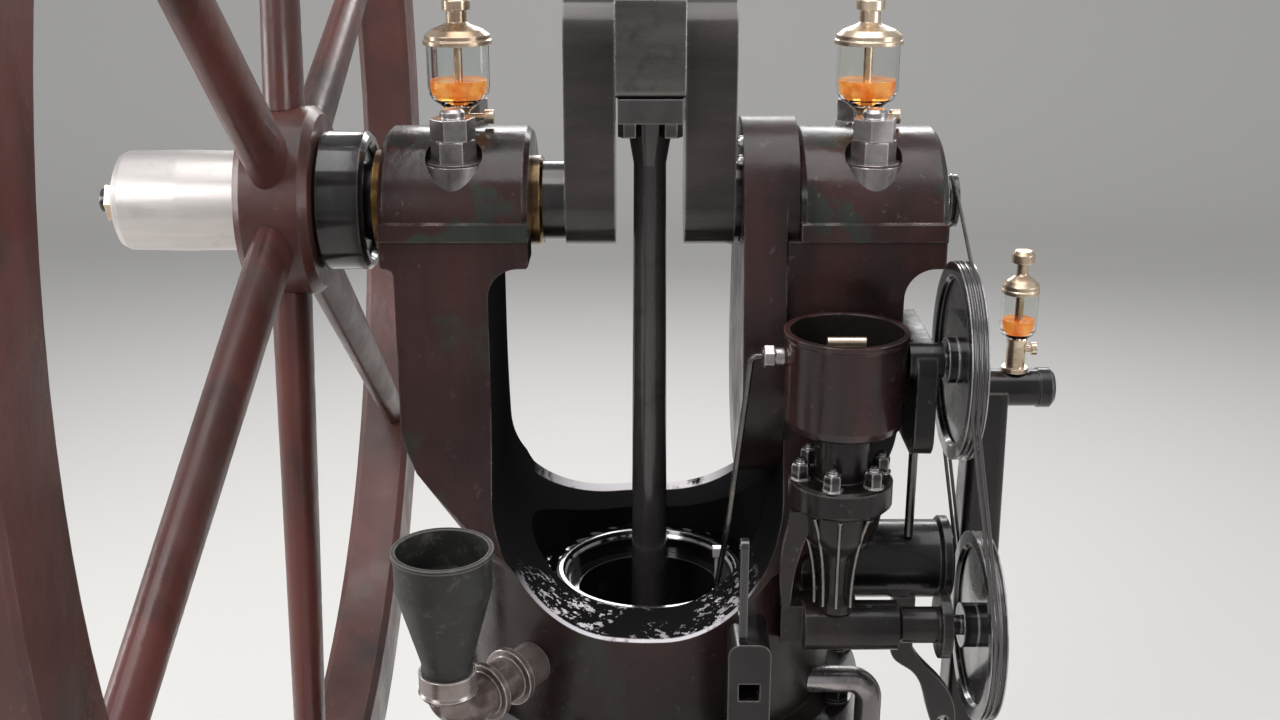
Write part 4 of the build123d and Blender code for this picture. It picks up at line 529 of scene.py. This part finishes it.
def meshPiece(name, slot, body, build, sharpFrom=30):
    # makes one mesh piece with build(bm), finishes it and lets it ride on a body
    # edges that bend by more than sharpFrom degrees stay sharp
    # slot names the finish the piece takes
    bm = bmesh.new()
    build(bm)
    bmesh.ops.recalc_face_normals(bm, faces=bm.faces)
    data = bpy.data.meshes.new(name)
    bm.to_mesh(data)
    bm.free()
    piece = bpy.data.objects.new(name, data)
    bpy.context.scene.collection.objects.link(piece)
    data.materials.append(finishes[slot])
    for face in data.polygons:
        face.use_smooth = True
    data.set_sharp_from_angle(angle=math.radians(sharpFrom))
    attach(piece, body)


def ringOf(bm, place, radius, height, sides, axis, twist=0.0):
    # one ring of corners about an axis through place; radius zero gives a single corner
    turn = Vector((0, 0, 1)).rotation_difference(Vector(axis)).to_matrix()
    corners = []
    for step in range(sides if radius > 0 else 1):
        angle = twist + 2 * math.pi * step / sides
        corner = Vector((radius * math.cos(angle), radius * math.sin(angle), height))
        corners.append(bm.verts.new(turn @ corner + Vector(place)))
    return corners


def joinRings(bm, rings, capped=False):
    # faces from ring to ring; capped closes both ends with a flat face
    for low, high in zip(rings, rings[1:]):
        sides = max(len(low), len(high))
        for step in range(sides):
            other = (step + 1) % sides
            corners = [low[step % len(low)], low[other % len(low)],
                       high[other % len(high)], high[step % len(high)]]
            corners = list(dict.fromkeys(corners))
            if len(corners) > 2:
                bm.faces.new(corners)
    if capped:
        bm.faces.new(rings[0])
        bm.faces.new(rings[-1])


def lathe(bm, place, outline, sides, axis=(0, 0, 1)):
    # turns (radius, height) points about an axis through place
    joinRings(bm, [ringOf(bm, place, radius, height, sides, axis) for radius, height in outline])


# A nut's corners are turned off at its top and bottom: shares of its width and of its height
nutOutline = ((0.94, 0.0), (1.0, 0.06), (1.0, 0.82), (0.86, 1.0))


def hexHead(bm, place, acrossFlats, height, axis=(0, 0, 1), twist=0.0):
    corner = acrossFlats / math.sqrt(3)         # radius of a hexagon's corners
    rings = [ringOf(bm, place, corner * wide, height * level, 6, axis, twist)
             for wide, level in nutOutline]
    joinRings(bm, rings, capped=True)


# Tip of a stud: how deep it starts in its nut, then shares of its height and of its radius
studEnd = {"sunk": 0.001, "shoulder": 0.6, "flat": 0.6, "sides": 16}


def boltAndNut(bm, place, look, twist):
    # washer, nut and the rounded tip of the stud over it
    washer, high, stud, tip = look["washer"], look["washerHigh"], look["stud"], look["tip"]
    lathe(bm, place, [(0, 0), (washer, 0), (washer, high), (0, high)], sides=20)
    seat = Vector(place) + Vector((0, 0, high))
    hexHead(bm, seat, look["flats"], look["nut"], twist=twist)
    outline = [(stud, -studEnd["sunk"]), (stud, tip * studEnd["shoulder"]),
               (stud * studEnd["flat"], tip), (0, tip)]
    lathe(bm, seat + Vector((0, 0, look["nut"])), outline, studEnd["sides"])


def tube(bm, points, radius, sides):
    # a round rod through a list of points, closed at both ends
    rings = []
    side = Vector((0.31, 0.95, 0.04)).normalized()         # any way that isn't along the rod
    for index, point in enumerate(points):
        before = points[max(0, index - 1)]
        after = points[min(len(points) - 1, index + 1)]
        along = (after - before).normalized()
        side = (side - along * side.dot(along)).normalized()
        other = along.cross(side)
        angles = [2 * math.pi * step / sides for step in range(sides)]
        rings.append([
            bm.verts.new(point + radius * (side * math.cos(angle) + other * math.sin(angle)))
            for angle in angles])
    joinRings(bm, rings, capped=True)


# Nuts of the foundation bolts, on the bed plate
boltMount = next(mount for mount in frame["record"]["mounts"] if mount["name"] == "bed_bolts")
foundationNuts = {
    "washer": 0.028, "washerHigh": 0.005, "flats": 0.036, "nut": 0.022, "stud": 0.012, "tip": 0.018,
    "twistX": 0.3, "twistY": 0.2,        # so that no two nuts stand alike
}


def buildFoundationNuts(bm):
    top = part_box("bed_plate")[1].z
    reachX = boltMount["dims"]["spacing_x_mm"] / 2000
    reachY = boltMount["dims"]["spacing_y_mm"] / 2000
    for sideX in (-1, 1):
        for sideY in (-1, 1):
            twist = foundationNuts["twistX"] * sideX + foundationNuts["twistY"] * sideY
            boltAndNut(bm, (sideX * reachX, sideY * reachY, top), foundationNuts, twist)


# Nuts on the water jacket's lower flange and on the frame's flange above it
jacketNuts = {
    "count": 12, "circle": 0.216, "washer": 0.017, "washerHigh": 0.003,
    "flats": 0.024, "nut": 0.014, "stud": 0.0075, "tip": 0.009, "flangeHigh": 0.024,
    "jacketTurn": 0.5, "frameTurn": 0.25,      # where the first nut stands, as a share of one step
}


def buildFlangeNuts(bm, centre, foot, look, turn):
    level = foot + look["flangeHigh"]
    for step in range(look["count"]):
        angle = 2 * math.pi * (step + turn) / look["count"]
        x = centre[0] + look["circle"] * math.cos(angle)
        y = centre[1] + look["circle"] * math.sin(angle)
        boltAndNut(bm, (x, y, level), look, angle)


def buildHeadNuts(bm):
    buildFlangeNuts(bm, (0, 0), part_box("water_jacket")[0].z, jacketNuts, jacketNuts["jacketTurn"])


def buildJacketNuts(bm):
    buildFlangeNuts(bm, (0, 0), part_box("water_jacket")[1].z, jacketNuts, jacketNuts["frameTurn"])


meshPiece("foundationNuts", "dark_iron", "engine", buildFoundationNuts)
meshPiece("headNuts", "dark_iron", "engine", buildHeadNuts)
meshPiece("jacketNuts", "dark_iron", "engine", buildJacketNuts)
print("flange and foundation nuts placed")

# Nuts on the flange of the oil cup's neck
neckNuts = {
    "count": 6, "circle": 0.0405, "washer": 0.010, "washerHigh": 0.0015,
    "flats": 0.016, "nut": 0.015, "stud": 0.0045, "tip": 0.005, "flangeHigh": 0.029, "turn": 0.2,
}


def buildNeckNuts(bm):
    buildFlangeNuts(bm, cupAxis, neck[0].z, neckNuts, neckNuts["turn"])


meshPiece("neckNuts", "neckSteel", "engine", buildNeckNuts)

# Bare turned bosses under the nuts of the bearing caps
bossSkins = {
    "radius": 0.0272, "bore": 0.012, "offset": 0.062, "footRise": 0.03, "seatDrop": 0.0235,
    "cover": 0.0003, "bevel": 0.002,
}


def buildBossSkins(bm):
    radius, bevel = bossSkins["radius"], bossSkins["bevel"]
    for cap in ("left_bearing_cap", "right_bearing_cap"):
        low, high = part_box(cap)
        seat = high.z - bossSkins["seatDrop"]
        top = seat + bossSkins["cover"]
        outline = [(radius, low.z + bossSkins["footRise"]), (radius, seat - bevel),
                   (radius - bevel, top), (bossSkins["bore"], top)]
        for side in (-1, 1):
            lathe(bm, ((low.x + high.x) / 2, side * bossSkins["offset"], 0), outline, sides=40)


meshPiece("bossSkins", "nutSteel", "engine", buildBossSkins)

# Nuts on the foot of the outboard post
postNuts = {
    "washer": 0.013, "washerHigh": 0.002, "flats": 0.019, "nut": 0.011, "stud": 0.006, "tip": 0.007,
    "footX": (0.305, 0.425), "inset": 0.018, "footHigh": 0.016,
    "twist": 9,         # radians for each metre along x
}


def buildPostNuts(bm):
    low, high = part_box("outboard_bearing")
    left, right = postNuts["footX"]
    inset = postNuts["inset"]
    for x in (left + inset, right - inset):
        for y in (low.y + inset, high.y - inset):
            boltAndNut(bm, (x, y, low.z + postNuts["footHigh"]), postNuts, x * postNuts["twist"])


meshPiece("postNuts", "dark_iron", "engine", buildPostNuts)
print("neck and post nuts placed")

# Two low screws on the side of the gear guard
guardScrews = {
    "head": 0.0055, "rise": 0.005, "shoulder": 0.6, "flat": 0.8,
    "places": ((-0.042, 1.318), (-0.042, 1.299)),        # y and z
}


def buildGuardScrews(bm):
    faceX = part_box("gear_guard")[0].x
    head, rise = guardScrews["head"], guardScrews["rise"]
    outline = [(head, 0), (head, rise * guardScrews["shoulder"]),
               (head * guardScrews["flat"], rise), (0, rise)]
    for y, z in guardScrews["places"]:
        lathe(bm, (faceX, y, z), outline, sides=18, axis=(-1, 0, 0))


meshPiece("guardScrews", "nutSteel", "engine", buildGuardScrews)

# Oil lying in the trough about the cylinder, with ripples
oilFilm = {
    "inner": 0.1035, "outer": 0.1275, "level": 0.8345, "ripple": 0.0010, "steps": 160, "rings": 8,
    "waves": ((7, 9, 1.0), (19, -14, 0.6), (31, 5, 0.4)),      # how many round, slant and height
}


def buildOilFilm(bm):
    rings = []
    for ring in range(oilFilm["rings"] + 1):
        across = ring / oilFilm["rings"]
        radius = oilFilm["inner"] + (oilFilm["outer"] - oilFilm["inner"]) * across
        row = []
        for step in range(oilFilm["steps"]):
            angle = 2 * math.pi * step / oilFilm["steps"]
            wave = sum(high * math.sin(count * angle + slant * across)
                       for count, slant, high in oilFilm["waves"])
            height = oilFilm["level"] + oilFilm["ripple"] * wave
            row.append(bm.verts.new((radius * math.cos(angle), radius * math.sin(angle), height)))
        rings.append(row)
    joinRings(bm, rings)


meshPiece("oilFilm", "blackOil", "engine", buildOilFilm, sharpFrom=80)

# Square tip on a thin pin, where the oil pipe ends beside the bore
oilTip = {
    "x": 0.0705, "y": -0.0725, "foot": 0.842, "pinRadius": 0.0022, "pinHigh": 0.046,
    "blocks": ((0.045, 0.055, 0.0045), (0.0, 0.005, 0.004)),     # bottom and top over the foot, half width
}


def buildOilTip(bm):
    x, y, foot, radius = oilTip["x"], oilTip["y"], oilTip["foot"], oilTip["pinRadius"]
    top = foot + oilTip["pinHigh"]
    lathe(bm, (x, y, 0), [(0, foot), (radius, foot), (radius, top), (0, top)], sides=10)
    for bottom, upper, half in oilTip["blocks"]:
        left, right, front, rear = x - half, x + half, y - half, y + half
        corners = ((left, front), (right, front), (right, rear), (left, rear))
        rings = [[bm.verts.new((*corner, foot + rise)) for corner in corners] for rise in (bottom, upper)]
        joinRings(bm, rings, capped=True)


meshPiece("oilTip", "polished", "engine", buildOilTip)

# Union nut where the oil pipe leaves the cup, on a short sleeve
unionNut = {
    "flats": 0.0190, "long": 0.011, "sunk": 0.002, "drop": 0.003,
    "bore": 0.0045, "sleeve": 0.0088, "sleeveEnd": 0.0080, "reach": 0.019, "back": -0.001,
}


def buildUnionNut(bm):
    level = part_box("oil_pipe")[1].z - unionNut["drop"]
    start = (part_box("oil_cup")[0].x + unionNut["sunk"], cupAxis[1], level)
    along, sleeve, reach = (1, 0, 0), unionNut["sleeve"], unionNut["reach"]
    hexHead(bm, start, unionNut["flats"], unionNut["long"], along)
    outline = [(unionNut["bore"], unionNut["back"]), (sleeve, 0.0),
               (sleeve, reach), (unionNut["sleeveEnd"], reach)]
    lathe(bm, start, outline, sides=20, axis=along)


meshPiece("unionNut", "nutSteel", "engine", buildUnionNut)

# Thin pipes down the bell-shaped column under the oil cup
columnPipes = {
    "radius": 0.0021, "clear": 0.0012, "angles": (-158, -128, -96, -60), "steps": 12, "sides": 8,
    "footRise": 0.010, "topDrop": 0.001,
    "footRadius": 0.0205, "flare": 0.0215, "flarePower": 2.2,      # how the column widens towards its top
}


def buildColumnPipes(bm):
    low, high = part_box("feed_column")
    foot, top = low.z + columnPipes["footRise"], high.z - columnPipes["topDrop"]
    for degrees in columnPipes["angles"]:
        angle = math.radians(degrees)
        line = []
        for step in range(columnPipes["steps"] + 1):
            part = step / columnPipes["steps"]
            column = columnPipes["footRadius"] + columnPipes["flare"] * part ** columnPipes["flarePower"]
            radius = column + columnPipes["radius"] + columnPipes["clear"]
            x = cupAxis[0] + radius * math.cos(angle)
            y = cupAxis[1] + radius * math.sin(angle)
            line.append(Vector((x, y, foot + (top - foot) * part)))
        tube(bm, line, columnPipes["radius"], columnPipes["sides"])


# Tapered strap from the flange under the cup down to the foot of the side shaft's tube
columnStrap = {
    "topX": (0.134, 0.160), "footX": (0.130, 0.138), "y": -0.190, "lean": 0.016, "thick": 0.006,
    "bow": -0.006, "topRise": 0.001, "footDrop": 0.012, "steps": 12,
}


def buildColumnStrap(bm):
    top = neck[0].z + columnStrap["topRise"]
    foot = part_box("side_shaft_tube")[1].z - columnStrap["footDrop"]
    rings = []
    for step in range(columnStrap["steps"] + 1):
        part = step / columnStrap["steps"]
        bow = columnStrap["bow"] * math.sin(math.pi * part)
        left, right = (topX * (1 - part) + footX * part + bow
                       for topX, footX in zip(columnStrap["topX"], columnStrap["footX"]))
        height = top + (foot - top) * part
        front = columnStrap["y"] + columnStrap["lean"] * part
        rear = front + columnStrap["thick"]
        corners = ((left, front), (right, front), (right, rear), (left, rear))
        rings.append([bm.verts.new((*corner, height)) for corner in corners])
    joinRings(bm, rings, capped=True)


meshPiece("columnPipes", "bright_steel", "engine", buildColumnPipes)
meshPiece("columnStrap", "columnPaint", "engine", buildColumnStrap)
print("oil film and column pipes placed")

# Stage, lights and camera
stageLook = {
    "floor": srgb(206, 204, 201), "roughness": 0.8,
    "size": 24.0,
    "wall": 5.0,            # how far behind the engine the floor turns up
    "bend": 1.6, "bendSteps": 12,
    "wallTop": 7.0,
}


def addStage():
    bm = bmesh.new()
    half = stageLook["size"] / 2
    wall, bend, steps = stageLook["wall"], stageLook["bend"], stageLook["bendSteps"]
    line = [(-half, 0.0), (wall, 0.0)]
    for step in range(1, steps + 1):
        angle = math.pi / 2 * step / steps
        line.append((wall + bend * math.sin(angle), bend * (1 - math.cos(angle))))
    line.append((wall + bend, stageLook["wallTop"]))
    left, right = ([bm.verts.new((x, y, z)) for y, z in line] for x in (-half, half))
    for step in range(len(line) - 1):
        bm.faces.new([left[step], right[step], right[step + 1], left[step + 1]])
    data = bpy.data.meshes.new("studioFloor")
    bm.to_mesh(data)
    bm.free()
    for face in data.polygons:
        face.use_smooth = True
    floor = bpy.data.objects.new("studioFloor", data)
    bpy.context.scene.collection.objects.link(floor)
    finish, tree, skin = newFinish("studioFloor")
    skin.inputs["Base Color"].default_value = stageLook["floor"]
    skin.inputs["Roughness"].default_value = stageLook["roughness"]
    data.materials.append(finish)


lampLooks = [
    {"name": "windowLight", "place": (0.2, 3.2, 2.6), "size": (2.8, 0.8), "power": 60},
    {"name": "wheelLight", "place": (-2.8, 0.4, 1.5), "size": (1.2, 1.2), "power": 34},
    {"name": "frontLight", "place": (-2.2, -2.6, 3.0), "size": (2.0, 2.0), "power": 75},
    {"name": "rightLight", "place": (2.8, -1.4, 1.8), "size": (1.4, 1.4), "power": 34},
    {"name": "topLight", "place": (0.0, -0.2, 3.8), "size": (2.4, 2.4), "power": 60},
]
lampAim = Vector((0, 0, 1.0))
skyLook = {"colour": (0.95, 0.97, 1.0, 1), "strength": 0.45}


def addLamps():
    for look in lampLooks:
        data = bpy.data.lights.new(look["name"], "AREA")
        data.energy = look["power"]
        data.shape = "RECTANGLE"
        data.size, data.size_y = look["size"]
        lamp = bpy.data.objects.new(look["name"], data)
        lamp.location = look["place"]
        lamp.rotation_euler = (lampAim - Vector(look["place"])).to_track_quat("-Z", "Y").to_euler()
        bpy.context.scene.collection.objects.link(lamp)
    world = bpy.data.worlds.new("studio")
    bpy.context.scene.world = world
    world.use_nodes = True
    sky = world.node_tree.nodes["Background"]
    sky.inputs["Color"].default_value = skyLook["colour"]
    sky.inputs["Strength"].default_value = skyLook["strength"]


cameraLook = {
    "place": (-0.010, -1.500, 1.575),
    "slopeDown": 18.3,      # degrees below level
    "lens": 42.19, "sensor": 36,        # mm
    "farthest": 60,         # of what it sees, m
}


def addCamera():
    data = bpy.data.cameras.new("engineCamera")
    data.lens = cameraLook["lens"]
    data.sensor_width = cameraLook["sensor"]
    data.clip_end = cameraLook["farthest"]
    camera = bpy.data.objects.new("engineCamera", data)
    camera.location = cameraLook["place"]
    camera.rotation_euler = (math.radians(90 - cameraLook["slopeDown"]), 0, 0)
    bpy.context.scene.collection.objects.link(camera)
    bpy.context.scene.camera = camera


addStage()
addLamps()
addCamera()
bpy.context.scene.view_settings.view_transform = "Standard"
print("stage, lamps and camera placed")
